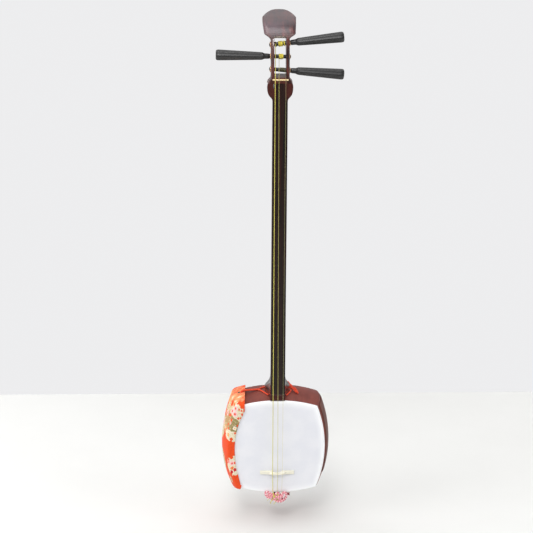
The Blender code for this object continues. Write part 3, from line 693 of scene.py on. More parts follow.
def boards(wood):
    """Four boards whose mitred ends have a fine bevel; the edges under the skins are rounded."""
    steps, inside, near_edge = 44, -11.0, 45.2
    depths = [-near_edge + 2 * near_edge * i / 26 for i in range(27)]
    edge = [(-0.1, 45.6), (-0.6, 45.9), (-1.6, HALF_D)]
    section = [(off, -y) for off, y in reversed(edge)] + [(swell(y), y) for y in depths] + edge
    section += [(inside, HALF_D), (inside, -HALF_D)]
    mitre = [(0.5, 0), (0.10, 0.45)]
    plan = [(-1, *row) for row in reversed(mitre)]
    plan += [(-1 + 2 * i / steps, *mitre[0]) for i in range(1, steps)]
    plan += [(1, *row) for row in mitre]
    for side in ("top", "right", "bottom", "left"):
        rings = []
        for u, gap, drop in plan:
            ring = []
            for off, y in section:
                x, z = rim(side, u, off - (drop if off > -5 else 0), gap)
                ring.append((x, y, z))
            rings.append(ring)
        node = "body_board_" + side
        make(node + "_shaped", *loft(rings), wood, slot="quince", stands_for=(node,), sharp=30)


def skins(hide):
    """Two skins, folded a little way down the boards; rim says how white the glued part is."""
    lip, inner = 44.4, -20.0
    folded = [(swell(lip) + 0.30, lip), (swell(lip) + 0.75, lip - 0.1), (swell(lip) + 1.0, lip + 0.3),
              (1.05, 45.6), (0.85, 46.3), (0.4, 46.85), (-0.3, 47.12)]
    levels = [(off, depth, 1) for off, depth in folded]
    glue = ((-1.4, 0.95), (-5, 0.55), (-8.5, 0.22), (-12.5, 0), (inner, 0))
    levels += [(off, SKIN_Y, g) for off, g in glue]
    for side, face in (("front", -1), ("back", 1)):
        rings = [[(x, face * depth, z) for x, z in outline(off)] for off, depth, _ in levels]
        n = len(rings[0])
        whiteness = [g for _, _, g in levels for _ in range(n)]
        middle = rings[-1]
        for share in (0.86, 0.7, 0.52, 0.34, 0.17, 0.06):
            rings.append([(x * share, y, BODY_CZ + (z - BODY_CZ) * share) for x, y, z in middle])
            whiteness += [0] * n
        verts, faces = loft(rings, caps=False)
        start = len(verts)
        faces.append(tuple(range(start - n, start)))
        for off, depth in ((0.30, 46.25), (inner, 46.3)):
            verts += [(x, face * depth, z) for x, z in outline(off)]
            whiteness += [1] * n
        for pair in zip(strip(0, start, n), strip(start, start + n, n)):
            faces += pair
        faces.append(tuple(range(start + n, start + 2 * n)))
        make(side + "_skin_stretched", verts, faces, hide, slot="skin", stands_for=(side + "_skin",),
             sharp=60, attrs={"rim": whiteness})


# ------------------------------------------------------------ neck
def neck_ring(z, half, back, face=NECK_Y, front=None, ups=None, widest=0.42):
    """Section of the neck: a flat playing face with small rounded edges, sides and a rounded back.

    widest is the share of the depth where the section is widest; ups gives a height to each point.
    """
    fh = half if front is None else front
    depth = back - face
    e = 0.7
    edge = [(fh - e, face), (fh - e * 0.3, face + e * 0.3), (fh, face + e)]
    pts = mirrored(edge) + [(-fh + e + (2 * fh - 2 * e) * k / 6, face) for k in range(1, 6)] + edge
    side = []
    for k in range(1, 7):
        t = k / 7
        s = t ** 1.45
        side.append((fh + (half - fh) * s * s * (3 - 2 * s), face + e + (widest * depth - e) * t))
    pts += side
    for k in range(0, 19):
        a = math.pi * k / 18
        pts.append((half * math.cos(a), face + widest * depth + (1 - widest) * depth * math.sin(a)))
    pts += mirrored(side)
    return [(x, y, z if ups is None else ups(x, y)) for x, y in pts]


def neck_half(z):
    """Half the neck's width: it widens slightly toward the body."""
    return 13.95 + 0.35 * (NUT_Z - z) / (NUT_Z - 204)


def foot_gap(y):
    """Room between the heel and the board: more where the folded skin lies on it."""
    return 0.8 + 1.2 * min(1.0, max(0.0, (-38.0 - y) / 4.0))


HEEL = (  # height, half width of the widest part, back, playing face, where the widest part is
    (300, 14.24, -25, -51, 0.42), (285, 14.25, -25, -51, 0.42), (272, 14.3, -25, -51, 0.43),
    (262, 14.4, -24.9, -51, 0.46), (254, 14.9, -24.2, -51, 0.52), (247, 16.4, -21.6, -51, 0.6),
    (241, 18.8, -17.6, -51, 0.66), (235.5, 21.7, -12.4, -51, 0.7), (230.5, 24, -7.2, -51, 0.71),
    (226, 24.8, -4.2, -51, 0.71), (222.6, 24.8, -3, -51, 0.71), (220.6, 24.7, -2.6, -50.9, 0.71),
    (219.4, 24.6, -2.5, -50.2, 0.71), (218.2, 24.5, -2.4, -49, 0.71), (215.6, 24.4, -2.4, -48.3, 0.71),
    (212.5, 24.2, -2.5, -48.1, 0.71))


def neck_piece(name, verts, faces, wood, polished, node, sharp):
    """A length of the neck: the playing face keeps a worn dull finish, the sides and back are polished."""
    obj = make(name, verts, faces, wood, slot="rosewood", stands_for=(node,), sharp=sharp, mats=[polished])
    foot = HEEL[-1][0] * MM
    for poly in obj.data.polygons:
        poly.material_index = 1 if poly.normal.y > -0.8 and poly.center.z > foot else 0
    return obj


def neck(wood, polished):
    """Three lengths of the neck; hair lines are left between them."""
    flat, joints, hair = -25.0, (424, 625), 0.15
    swelling = ((774, 13.98, flat), (780, 13.98, flat), (786, 13.98, -24.9), (789.6, 14.15, -24.6),
                (792.5, 14.9, -23.9), (795, 17, -22.8), (797.5, 19.2, -21.6), (801, 21.5, -20.4),
                (806, 23, -19.2), (811.5, 23.6, -18.5), (816.5, 23.55, -18.3), (820.85, 22.5, -18.6))
    rings = [neck_ring(z, 14.06, flat) for z in (joints[1] + hair, 660, 700, 740)]
    rings += [neck_ring(*row) for row in spline(swelling, 100)]
    neck_piece("neck_upper_length", *loft(rings), wood, polished, "upper_neck", 50)
    low, high = joints[0] + hair, joints[1] - hair
    rings = [neck_ring(z, neck_half(z), flat) for z in [low + (high - low) * i / 12 for i in range(13)]]
    neck_piece("neck_middle_length", *loft(rings), wood, polished, "middle_neck", 50)
    rings = [neck_ring(z, neck_half(z), flat) for z in (joints[0] - hair, 400, 370, 340, 315)]
    rings += [neck_ring(z, half, back, face, min(neck_half(z), half), widest=widest)
              for z, half, back, face, widest in spline(HEEL, 90)]
    # the last few millimetres turn from level rings to rings that follow the board
    foot_z, half, back, face, widest = HEEL[-1]
    for share in (0.5, 1):
        def down(x, y, share=share):
            low = board_top(x, min(max(y, -HALF_D), 0.0), foot_gap(y))
            return foot_z + (low - foot_z) * share
        rings.append(neck_ring(0, half - 0.4 * share, back - 0.4 * share, face + 0.5 * share,
                               14.3 - 0.2 * share, ups=down, widest=widest))
    outer, middle = rings[-1], -33.0
    for share in (0.7, 0.4):
        ring = [(x * share, middle + (y - middle) * share) for x, y, _ in outer]
        rings.append([(x, y, board_top(x, max(y, -HALF_D), foot_gap(y))) for x, y in ring])
    pin = [[(-h, middle - d, z), (h, middle - d, z), (h, middle + d, z), (-h, middle + d, z)]
           for z, h, d in ((-13, 4.2, 3.6), (-12.3, 5.2, 4.6), (-11, 5.6, 5), (20, 6.3, 5.9))]
    verts, faces, _ = merge([(*loft(rings), {}), (*loft(pin), {})])
    neck_piece("neck_lower_length", verts, faces, wood, polished, "lower_neck", 42)


# ------------------------------------------------------------ head
HEAD = (  # height and depth of the front line, tilt, half width in front, half width behind, half thickness
    (HEAD_JOINT_Z + 0.1, -51, 0, 22.5, 23.4, 16), (823.5, -51, 0, 21.3, 23.2, 15.9),
    (826.3, -51, 0, 19.3, 22.2, 15.7), (829, -50.9, 2, 17.9, 20.6, 15.4), (832, -50.7, 4, 17.1, 18.6, 15),
    (836, -50.3, 6, 16.95, 17.1, 14.7), (847, -48.8, 8, 16.95, 16.95, 14.4),
    (858, -46.9, 9.5, 16.95, 16.95, 14.4), (870, -44.6, 11, 16.95, 16.95, 14.4),
    (882, -41.9, 12.5, 16.95, 16.95, 14.3), (892, -39, 13, 16.95, 16.95, 14.2),
    (897.4, -37.3, 10, 16.95, 16.95, 14), (899.8, -36.5, 7, 17.4, 17.2, 13.8),
    (902.2, -35.8, 4, 20.1, 19.7, 13.2), (904.4, -35, 3, 23.6, 23.2, 12.6), (906.6, -34.2, 3, 26.8, 26.5, 12),
    (908.3, -33.4, 3, 28.3, 28.2, 11.5), (909.6, -32.9, 4, 28.5, 28.5, 11.3),
    (915, -30.2, 11, 28.9, 28.9, 10.4), (924, -25, 21, 29.8, 29.8, 9.3), (932, -19.2, 30, 30.4, 30.4, 8.1),
    (938.4, -13.4, 37, 30.75, 30.75, 7.1))


def lean(z):
    """The head's top leans a little to the left."""
    return -1.5 * min(1.0, max(0.0, (z - 896.0) / 42.0))


def head_ring(zf, yf, tilt, front, behind, thick):
    """Section across the head, tilted: a flat front with small rounded edges and a well rounded back."""
    t = math.radians(tilt)
    c = min(1.9, thick * 0.3)
    r = min(7.0, thick * 0.55)
    edge = [(front - c * 1.1, -thick), (front - c * 0.85, -thick + c * 0.15),
            (front - c * 0.2, -thick + c * 0.72), (front, -thick + c)]
    flat = [(-front + c * 1.1 + (2 * front - 2.2 * c) * k / 8, -thick) for k in range(1, 8)]
    mid = []
    for k in range(1, 5):
        s = k / 5
        mid.append((front + (behind - front) * s * s * (3 - 2 * s), -thick + c + (2 * thick - c - r) * s))
    for k in range(7):
        a = math.pi / 2 * k / 6
        mid.append((behind - r + r * math.cos(a), thick - r + r * math.sin(a)))
    shape = mirrored(edge) + flat + edge + mid + mirrored(mid)
    return [(x + lean(zf), yf + (n + thick) * math.cos(t), zf - (n + thick) * math.sin(t)) for x, n in shape]


def head(wood, raw):
    """Peg box and spoon end in one piece, with the string slot and the peg holes cut out of it."""
    rows = spline(HEAD, 150)
    # the crown: the outline closes on a full arc above the widest line
    z0, y0, tilt0, w0, _, t0 = HEAD[-1]
    for i in range(1, 19):
        share = 1 - (1 - i / 18) ** 2
        w = max(1.6, w0 * (1 - share) ** (1 / 2.9))
        h = 13.0 * share
        rows.append([z0 + h, y0 + h * 1.13, tilt0 + 7.0 * share, w, w, max(2.2, t0 * (1 - 0.5 * share ** 2))])
    rings = [head_ring(*row) for row in rows]
    obj = make("head_carved", *loft(rings), wood, body=None, slot="rosewood", stands_for=("head",))
    slot = [(-80, 831), (-51, 831), (-20, 837.2), (30, 841), (30, 895), (-8, 899.4), (-35, 903.8),
            (-80, 905)]
    boolean(obj, loft([[(x, y, z) for y, z in slot] for x in (-SLOT_HALF, SLOT_HALF)]))
    for z, y, tilt, hand in PEGS.values():
        rings = turned([(-60, 5.2), (60, 5.2)], (0, y, z), peg_axis(tilt, hand), 32)
        boolean(obj, loft(rings))
    obj.data.materials.clear()
    for one in (wood, raw):
        obj.data.materials.append(one)
    # only the slot's upper end is left raw, and its light colour there is a painted reflection
    low, high, half = 893.0 * MM, 905.2 * MM, (SLOT_HALF - 0.1) * MM
    for poly in obj.data.polygons:
        x, _, z = poly.center
        poly.material_index = 1 if abs(x) < half and low < z < high and poly.normal.z < -0.7 else 0
    soften(obj, 34)
    bevel(obj, 0.4, 2, 38)
    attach(obj, ROOT)
    return obj


def peg_axis(tilt, hand):
    """Direction of a peg toward its handle."""
    t = math.radians(tilt)
    return (hand * math.cos(t), 0, math.sin(t))


def six_sided(a):
    """Handle with six soft flats."""
    b = (a + math.pi / 6) % (math.pi / 3) - math.pi / 6
    flat = 0.915 / math.cos(b)
    return min(1.0, flat) - 0.012 * math.cos(6 * b)


# the thread's radius, then bundles of bright turns and of dull ones: middle along the peg, turns, spacing,
# radius of the thread's path
WINDINGS = {"peg_1": (0.56, ((0.8, 7, 1.14, 4.55), (7.8, 2, 1.14, 4.5)), ((-8.2, 3, 1.25, 4.2),)),
            "peg_2": (0.5, ((1.3, 8, 1.02, 4.5),), ()),
            "peg_3": (0.27, (), ((4.3, 7, 1.35, 4.2),))}


def peg(name, wood):
    """Tapered shaft, a swelling shoulder and a long six-sided handle."""
    z, y, tilt, hand = PEGS[name]
    profile = [(-19.9, 1.2), (-19.8, 2.2), (-19.4, 2.9), (-18.6, 3.2), (-11, 3.4), (0, 3.6), (11, 3.85),
               (19.6, 4.05), (20.4, 4.5), (22, 4.75), (27.6, 4.95), (28.8, 5.15), (30.2, 5.7), (31.6, 6.4),
               (33, 6.8, six_sided), (36, 7, six_sided)]
    profile += [(s, 7.0 + 2.7 * ((s - 36) / 76) ** 0.95, six_sided) for s in range(43, 111, 6)]
    profile += [(s, r, six_sided) for s, r in ((111.5, 9.7), (114, 9.45), (115.5, 8.9), (116.4, 7.9))]
    profile += [(116.8, 6.4), (116.9, 3)]
    verts, faces = loft(turned(profile, (0, y, z), peg_axis(tilt, hand), 48))
    make(name + "_turned", verts, faces, wood, body=name + "_body", slot="ebony", stands_for=(name,),
         sharp=24)


def collars(name, gilt):
    """Flanged metal ring in each wall; a slanted peg's ring stands out far enough to clear the wall."""
    z, y, tilt, hand = PEGS[name]
    out = 17.0 + 5.6 * math.tan(math.radians(abs(tilt))) * 0.5
    shell = [(11.2, 4.4), (11.2, 4.95), (17, 4.95), (out, 5.4), (out + 0.2, 5.6), (out + 0.6, 5.6),
             (out + 1.0, 5.3), (out + 1.1, 4.9), (out + 1.1, 4.6), (out + 0.9, 4.4)]
    for side, way in (("handle", 1), ("far", -1)):
        axis = tuple(way * c for c in peg_axis(tilt, hand))
        verts, faces = close_loop(turned(shell, (0, y, z), axis, 32))
        make(name + "_collar_" + side, verts, faces, gilt, slot="gilt_metal",
             stands_for=(name + "_ferrule_" + side,), sharp=40)


def winding(name, bright, dull):
    """String wound on a peg: a bright bundle, a dull one or both."""
    z, y, tilt, hand = PEGS[name]
    axis = Vector(peg_axis(tilt, hand))
    u = axis.orthogonal().normalized()
    v = axis.cross(u)
    radius, *bundles = WINDINGS[name]
    steps = 16
    for label, rows, mat in (("wound_string", bundles[0], bright), ("wound_lead", bundles[1], dull)):
        parts = []
        for x, turns, pitch, r in rows:
            points = []
            for i in range(turns * steps + 1):
                a = 2 * math.pi * i / steps
                points.append(Vector((0, y, z)) + axis * (x * hand + (i / steps - turns / 2) * pitch)
                              + u * (r * math.cos(a)) + v * (r * math.sin(a)))
            parts.append(thread(points, radius, 8))
        if parts:
            stands_for = (name + "_winding",) if label == "wound_string" or not bundles[0] else ()
            cord(name + "_" + label, parts, mat, "silk", body=name + "_body", stands_for=stands_for)


# ------------------------------------------------------------ small fittings
def oval(y, rx, rz, n=28):
    """Ring round the sawari screw's axis."""
    angles = [2 * math.pi * k / n for k in range(n)]
    return [(SAWARI[0] + rx * math.cos(a), y, SAWARI[1] + rz * math.sin(a)) for a in angles]


def fittings(horn, steel, dark_steel):
    """Upper bridge, sawari pin in its plate, and the slotted screw behind the neck."""
    left, right = -13.9, 14.9
    rings = []
    for x in [left, -13.5] + [-13.5 + 28.0 * k / 12 for k in range(1, 12)] + [14.5, right]:
        k = 0.25 if x in (left, right) else 0.0
        half = [(-51.15, 1.5 - k), (-52.2, 1.5 - k), (-53.0 + k, 1.2), (-53.35 + k, 0.5)]
        low = [(x, y, NUT_Z - dz) for y, dz in half]
        rings.append(low + [(x, y, NUT_Z + dz) for y, dz in reversed(half)])
    make("upper_bridge_bar", *loft(rings), horn, slot="bone", stands_for=("upper_bridge",), sharp=50)
    at, back = (SAWARI[0], 0, SAWARI[1]), (0, 1, 0)
    pin = turned([(-52.1, 0.4), (-52, 0.8), (-51.8, 1.05), (-51.4, 1.15), (-40, 1.15)], at, back, 28)
    make("sawari_pin_turned", *loft(pin), dark_steel, body="sawari_screw_body", slot="steel",
         stands_for=("sawari_pin",), sharp=40)
    plate = [oval(y, 1.7 + grow, 4.2 + grow) for y, grow in ((-50.9, 0), (-51.25, 0), (-51.4, -0.2))]
    hole = [oval(y, 1.3, 1.3) for y in (-51.4, -50.9)]
    make("sawari_plate", *close_loop(plate + hole), dark_steel, slot="steel", sharp=40)
    screw = turned([(-30, 2.6), (-17.2, 2.6), (-16.6, 3.2), (-16.5, 4.2), (-16.1, 4.4), (-14.2, 4.4),
                    (-13.5, 4.1), (-13.1, 3.4), (-13, 1)], at, back, 36)
    obj = make("sawari_screw_turned", *loft(screw), steel, body=None, slot="steel",
               stands_for=("sawari_screw",), sharp=40)
    slot = ((-6, -0.5), (6, -0.5), (6, 0.5), (-6, 0.5))
    boolean(obj, loft([[(at[0] + a, y, at[2] + b) for a, b in slot] for y in (-14.4, -10)]))
    soften(obj, 40)
    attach(obj, "sawari_screw_body")


def bridge(ivory):
    """Low bridge: two flat feet, a raised middle on an arch, and a narrow top edge under the strings."""
    top = [(0, BRIDGE_TOP_Y), (6, BRIDGE_TOP_Y), (12.4, BRIDGE_TOP_Y), (13.4, -56.3), (14.1, -55),
           (14.9, -53), (16.4, -51.4), (19, -50.6), (24, -50.2), (30, -49.9), (34, -49.6)]
    low = [(34, -47.75), (9.3, -47.75), (9.1, -49.2), (8, -50.9), (5.8, -52.3), (3, -53.1), (0, -53.4)]
    shape = mirrored(top[1:]) + top + low + mirrored(low[:-1])
    rings = [[(x, y, BRIDGE_Z + s * (4.1 - (-47.7 - y) * 0.29)) for x, y in shape] for s in (-1, 1)]
    obj = make("bridge_carved", *loft(rings), ivory, body="bridge_body", slot="bone", stands_for=("bridge",),
               sharp=36)
    bevel(obj, 0.45, 3, 30)


# radius, x at the tail cord, on the bridge, on the upper bridge and at the peg, reach to the winding, peg
STRINGS = {"string_1": (0.62, -8.4, -9.3, -9.2, -8.3, 4.4, "peg_1"),
           "string_2": (0.42, 0.2, 0.9, -2.4, -2, 4.6, "peg_2"),
           "string_3": (0.26, 9.3, 10.2, 10.1, 8.6, 4.2, "peg_3")}


def strings(*silks):
    """Each string in two parts that blend with the bridge: one up to its peg, one down to the tail cord."""
    clear, tail_z, stretch = 0.02, 11.5, 6.0
    for (name, (r, x_tail, x_bridge, x_nut, x_peg, reach, peg_name)), silk in zip(STRINGS.items(), silks):
        z, y, tilt, hand = PEGS[peg_name]
        z_peg, y_peg = z + x_peg * math.sin(math.radians(tilt)) * hand, y - reach - r * 0.4
        y_tail, y_b, y_n = -53.4 - r, BRIDGE_TOP_Y - r - clear, -53.35 - r - clear
        upper = [(x_bridge, y_b, BRIDGE_Z), (x_bridge, y_b, BRIDGE_Z + 1.2)]
        shares = (0.05, 0.25, 0.5, 0.75, 0.96)
        upper += [Vector((x_bridge, y_b, BRIDGE_Z)).lerp((x_nut, y_n, NUT_Z), t) for t in shares]
        upper += [(x_nut, y_n, NUT_Z - 0.4), (x_nut, y_n + 0.25, NUT_Z + 1.2),
                  ((x_nut + x_peg) / 2, (y_n + y_peg) / 2, (NUT_Z + z_peg) / 2), (x_peg, y_peg, z_peg)]
        lower = [(x_tail, y_tail, tail_z), ((x_tail + x_bridge) / 2, (y_tail + y_b) / 2 - 0.3, 31),
                 (x_bridge, y_b + 0.05, BRIDGE_Z - 1.2), (x_bridge, y_b, BRIDGE_Z)]
        for part, path, start in (("upper", upper, NUT_Z * MM), ("lower", lower, 0.011)):
            points = [Vector(path[0])]
            for a, b in zip(path, path[1:]):
                count = max(1, int((Vector(b) - Vector(a)).length / stretch))
                points += [Vector(a).lerp(Vector(b), (i + 1) / count) for i in range(count)]
            obj = cord(name + "_" + part, [thread(points, r, 10)], silk, "silk", body=None,
                       stands_for=(name,))
            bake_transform(obj)


def tail_cord(pink, deep, silk):
    """Braided tail cord: loops in front of the skin's lower edge, two legs back round the end pin.

    A thin red cord lies under it, and the knotted ends of the strings hang over it.
    """
    r = 2.75
    loops = [
        [(-19.2, -51.8, 6.2), (-13.5, -52.6, 5), (-8, -53.4, 3.6), (-3, -54.4, 3)],
        [(-3, -53, 0.5), (-8.5, -54, 3.4), (-13.5, -54, 1), (-18.5, -53, 1.8), (-22, -51.6, 6),
         (-22.4, -50.4, 10.2), (-19, -49.9, 11), (-13, -50.6, 8), (-8, -51.8, 5.6), (-4.5, -53, 2)],
        [(-1.5, -52.2, -3), (-3, -53.2, 3), (-1.6, -53.6, 9), (1.6, -53.6, 10.4), (3.4, -53.6, 7),
         (3, -54.6, 1), (5, -54.4, -4.4)],
        [(5.5, -54, -3.6), (7.4, -54, 2), (10.4, -53.6, 8.6), (14, -53, 11.2), (17.6, -52.6, 9.4),
         (18.6, -52.6, 4), (16.8, -53, -1.6), (12, -53.4, -5)],
        [(-7, -53.4, 1.6), (-4, -54.4, -3.4), (1, -54.8, -6.6), (6.5, -54.8, -7.4), (12, -54, -5.4),
         (17, -53, -0.6)],
        [(-5.5, -52.6, 4), (2, -55.6, 2.2), (8.5, -55.4, 3.8), (14, -54.6, 5)],
        [(-6.4, -25.4, -7.2), (-9.6, -29.5, -7.4), (-10.4, -38, -7.6), (-9, -48, -6.4), (-6, -52.6, -2.6),
         (-3, -53.2, 1.6)],
        [(6.4, -25.4, -7.2), (9.6, -29.5, -7.4), (10.4, -38, -7.6), (10.5, -48, -7.4), (9.5, -52.6, -5),
         (6, -54, -3.4)],
        [(-6.6, -25.6, -7.2), (0, -24.8, -7), (6.6, -25.6, -7.2)],
    ]
    parts = [rope(points, r, step=0.8, n=14, plies=3, pitch=9.0, depth=0.2, taper=2) for points in loops]
    cord("tail_cord_braided", parts, pink, "cord_pink", stands_for=("tail_cord",))
    under = [[(14, -49.4, 8), (18.5, -49, 8.6), (23, -48.6, 7.4), (26, -48.6, 8.2)],
             [(-15, -50, 6.4), (-8, -50, 7), (0, -50, 6.6), (9, -50, 6.8)],
             [(20, -49.2, 7.2), (23.6, -49.4, 5), (25.8, -49.8, 3.6)]]
    parts = [rope(points, 1.25, step=0.8, plies=3, pitch=7.0, depth=0.15, taper=2) for points in under]
    cord("tail_cord_wrap", parts, deep, "cord_red")
    ends = [[(-7.4, -54.6, 12), (-7, -55.6, 7), (-5.6, -55.8, 3.4), (-7.6, -55.4, 0.6), (-11, -54.4, -6),
             (-13.6, -53.8, -12.4)],
            [(0.6, -54.4, 12), (0.4, -55.2, 6), (1.2, -56.2, 0), (-2, -55.8, -6.6), (-6.4, -54.8, -13.2)],
            [(9.6, -54.2, 12), (9.4, -54.6, 8), (10.6, -54.6, 4)],
            [(-12, -54.6, 1.4), (-15.4, -54, -1.6), (-19.4, -53.4, -6)]]
    gauges = (0.8, 0.62, 0.45, 0.5)
    parts = [rope(p, g, step=1.2, n=8) for p, g in zip(ends, gauges)]
    for at, size in (((-5.6, -56, 4.6), 1.9), ((1, -55.6, 8.8), 1.3), ((9.6, -54.9, 7.6), 1.1)):
        knot = []
        for i in range(23):
            a = 2 * math.pi * i / 11
            turn = (size * math.cos(a), size * 0.45 * math.sin(a), size * 0.7 * math.sin(a) + (i - 11) * 0.07)
            knot.append(Vector(at) + Vector(turn))
        parts.append(thread(knot, 0.62, 8))
    cord("string_ends", parts, silk, "silk")


# ------------------------------------------------------------ arm cover and knee rubber
COVER = (  # side, u along it, overlap on the skin, proud height
    ("top", 1, 11, 6.5), ("top", 0.5, 12.5, 6.7), ("left", 1, 13.5, 6.6), ("left", 0.9, 13.5, 6),
    ("left", 0.75, 11.6, 5.5), ("left", 0.5, 9.9, 5.2), ("left", 0.25, 8.9, 5.6), ("left", 0, 8.2, 6.6),
    ("left", -0.25, 7.9, 7.2), ("left", -0.5, 7.2, 7.2), ("left", -0.75, 7.4, 6.6), ("left", -0.9, 6.4, 6),
    ("left", -1, 5.6, 5.6), ("bottom", 0.6, 5, 5))
COVER_TOP_X, COVER_LOW_X, COVER_EDGE_SLANT = -63.6, -69.6, 0.025


def cover_station(side, u, off, y):
    """Point of the cover; on the top and bottom boards u falls from 1 at its edge to 0 at the corner."""
    if side == "left":
        x, z = rim(side, u, off)
        return (x, y, z)
    cx = -corner(off)[0]
    edge = COVER_TOP_X + COVER_EDGE_SLANT * y if side == "top" else COVER_LOW_X
    x = cx + (max(cx, edge) - cx) * u
    r = R_TOP + off
    z = math.sqrt(r * r - x * x) + C_TOP
    return (x, y, BODY_CZ + (z if side == "top" else -z))


def arm_cover(cloth, lining, gilt, dark):
    """Card shell covered with cloth, lapped over the front skin; returns a function for points above it."""
    fine = []
    for (s0, u0, l0, p0), (s1, u1, l1, p1) in zip(COVER, COVER[1:]):
        side = "bottom" if s1 == "bottom" else s0
        a = 0.0 if (s0 != s1 and s0 == "left") else u0
        b = 0.0 if (s0 != s1 and s1 == "left") else u1
        count = 12 if side == "left" else 9
        for i in range(count):
            t = i / count
            fine.append((side, a + (b - a) * t, l0 + (l1 - l0) * t, p0 + (p1 - p0) * t))
    fine.append(COVER[-1])
    rings, total = [], len(fine)
    for i, (side, u, lap, proud) in enumerate(fine):
        ys = [-44, -40, -36, -31, -26, -20, -13, -6, 1, 8, 15, 22, 29, 34]
        outer = [(-lap, -48.15), (-lap - 0.1, -48.7), (-lap + 0.25, -49.25), (-lap + 0.9, -49.5),
                 (-lap * 0.55, -49.65), (-lap * 0.25, -49.75), (0.3, -49.7), (proud * 0.38, -49.3),
                 (proud * 0.68, -48.3), (proud * 0.9, -46.6)]
        outer += [(swell(y) + proud, y) for y in ys]
        outer += [(swell(38.0) + proud * 0.97, 38), (swell(39.0) + proud * 0.6, 39),
                  (swell(39.2) + 2.2, 39.2)]
        inner = [(swell(39.0) + 1.5, 38.8)]
        inner += [(swell(y) + 1.5, y) for y in (31, 20, 7, -7, -20, -31)]
        inner += [(swell(40) + 1.6, -40), (1.8, -46.6), (0.9, -47.7), (-lap * 0.5, -47.72)]
        rings.append([Vector(cover_station(side, u, off, y)) for off, y in outer + inner])
    # the card shell has round corners, not mitred ones
    for _ in range(10):
        old = [list(r) for r in rings]
        for i in range(1, total - 1):
            for k in range(len(rings[i])):
                rings[i][k] = old[i][k] * 0.5 + (old[i - 1][k] + old[i + 1][k]) * 0.25
    n_outer = len(outer)
    cu, cv, along = [], [], 0.0
    for i, ring in enumerate(rings):
        if i:
            along += (ring[6] - rings[i - 1][6]).length
        across = 0.0
        for k, p in enumerate(ring):
            if 0 < k < n_outer:
                across += (p - ring[k - 1]).length
            cu.append(across if k < n_outer else max(0.0, across * (1 - (k - n_outer) / 11)))
            cv.append(along)
    verts, faces = loft([[tuple(p) for p in ring] for ring in rings])
    obj = make("arm_cover_cloth", verts, faces, cloth, slot="cloth", stands_for=("arm_cover",), sharp=55,
               attrs={"cu": cu, "cv": cv}, mats=[lining])
    n = len(rings[0])
    for poly in obj.data.polygons:
        if all(v % n >= n_outer or v % n == 0 for v in poly.vertices) and len(poly.vertices) == 4:
            poly.material_index = 1
    shell, sky = BVHTree.FromPolygons(verts, faces), 400.0

    def over(x, y, lift=0.0):
        """A point above the cover, or above the board where the cover does not reach."""
        hit = shell.ray_cast((x, y, sky), (0, 0, -1))[0]
        low = board_top(x, min(max(y, -45.0), 45.0))
        return (x, y, max(low, hit[2] if hit else low) + lift)

    eyelet = (-75.8, -13)
    normal = shell.ray_cast((*eyelet, sky), (0, 0, -1))[1]
    ring = turned([(-0.4, 2.25), (0.3, 2.25), (0.5, 2.45), (0.52, 2.9), (0.35, 3.25), (-0.2, 3.4),
                   (-0.4, 3.2)],
                  over(*eyelet), normal, 28)
    # painted shade: a near-black disc closes the eyelet's hole, standing for the shade inside it
    shade_disc = turned([(-0.4, 2.35), (0.12, 2.35), (0.16, 1)], over(*eyelet), normal, 24)
    make("arm_cover_eyelet_shade_disc", *loft(shade_disc), dark, slot="cloth", sharp=45)
    make("arm_cover_eyelet_ring", *close_loop(ring), gilt, slot="gilt_metal",
         stands_for=("arm_cover_eyelet",), sharp=45)
    return over


def cover_cords(red, over):
    """Tie cord: doubled from the eyelet to a fork, one strand behind the heel and one to its left.

    The rear strand comes back on the right with a loose knot, a short strand and two ends.
    """
    r = 1.5
    rest = r + 0.35
    edge, fork = over(-65.0, -11.4, rest), over(-37.4, -5.2, rest)
    mid = [a * 0.5 + b * 0.5 for a, b in zip(edge, fork)]
    mid[2] = max(mid[2], over(mid[0], mid[1], rest)[2] + 0.6)
    rear = [over(-73.0, -12.9, -1.2), over(-71.8, -12.7, 0.5), over(-69.5, -12.2, rest - 0.2), edge, mid,
            fork, over(-31.0, -0.8, rest), over(-25.4, 2.8, rest), over(-19.0, 4.6, rest + 1.0),
            (0, 5.2, 224), (16, 4.4, 226.6), (22.5, 1.6, 226.8), (25.6, -2.6, 223.6), (29.5, -9.5, 219),
            (33.5, -15, 215.8), over(38.4, -20.5, rest)]
    second = [over(-72.6, -14.2, -1.2), over(-71.4, -14.8, 0.5), over(-69.5, -14.8, rest - 0.2),
              (edge[0], edge[1] - 2.7, edge[2]), (mid[0], mid[1] - 2.7, mid[2]), over(-39.0, -7.8, rest)]
    left = [over(-35.4, -9.4, rest), over(-30.4, -14.8, rest), over(-25.4, -21.0, rest),
            over(-20.8, -26.8, rest), over(-17.6, -30.4, rest)]
    right = [(25, 0.4, 223.4), (27.6, -5, 219), over(28.0, -11.0, rest), over(26.4, -17.5, rest),
             over(23.0, -24.0, rest), over(19.4, -29.4, rest), over(17.2, -31.8, rest)]
    knot = [(24.6, 0, 224.4), (26.8, -3, 223), (29.4, -7, 219.6), (28.6, -10.2, 217.4), (26, -7.6, 218.2),
            (25.8, -3, 221.8), (28.4, -1.8, 221.6), (30.6, -6.4, 218.6)]
    tail = [(28.2, -4.6, 220.8), (33.2, -10, 218), (37.6, -16.2, 215), over(41.6, -22.6, rest)]
    tail_pair = [(33.6, -9.4, 219.2), (37.2, -13, 217.4), over(40.4, -17.6, rest + 0.6),
                 over(42.2, -21.0, rest)]
    look = {"step": 0.9, "n": 14, "plies": 8, "pitch": 5.0, "depth": 0.07, "taper": 1}
    for name, lengths in (("rear", [rear]), ("left", [second + left]),
                          ("right", [right, knot, tail, tail_pair])):
        parts = [rope(points, r, **look) for points in lengths]
        cord("cover_tie_" + name, parts, red, "cord_red", stands_for=("arm_cover_cord_" + name,))


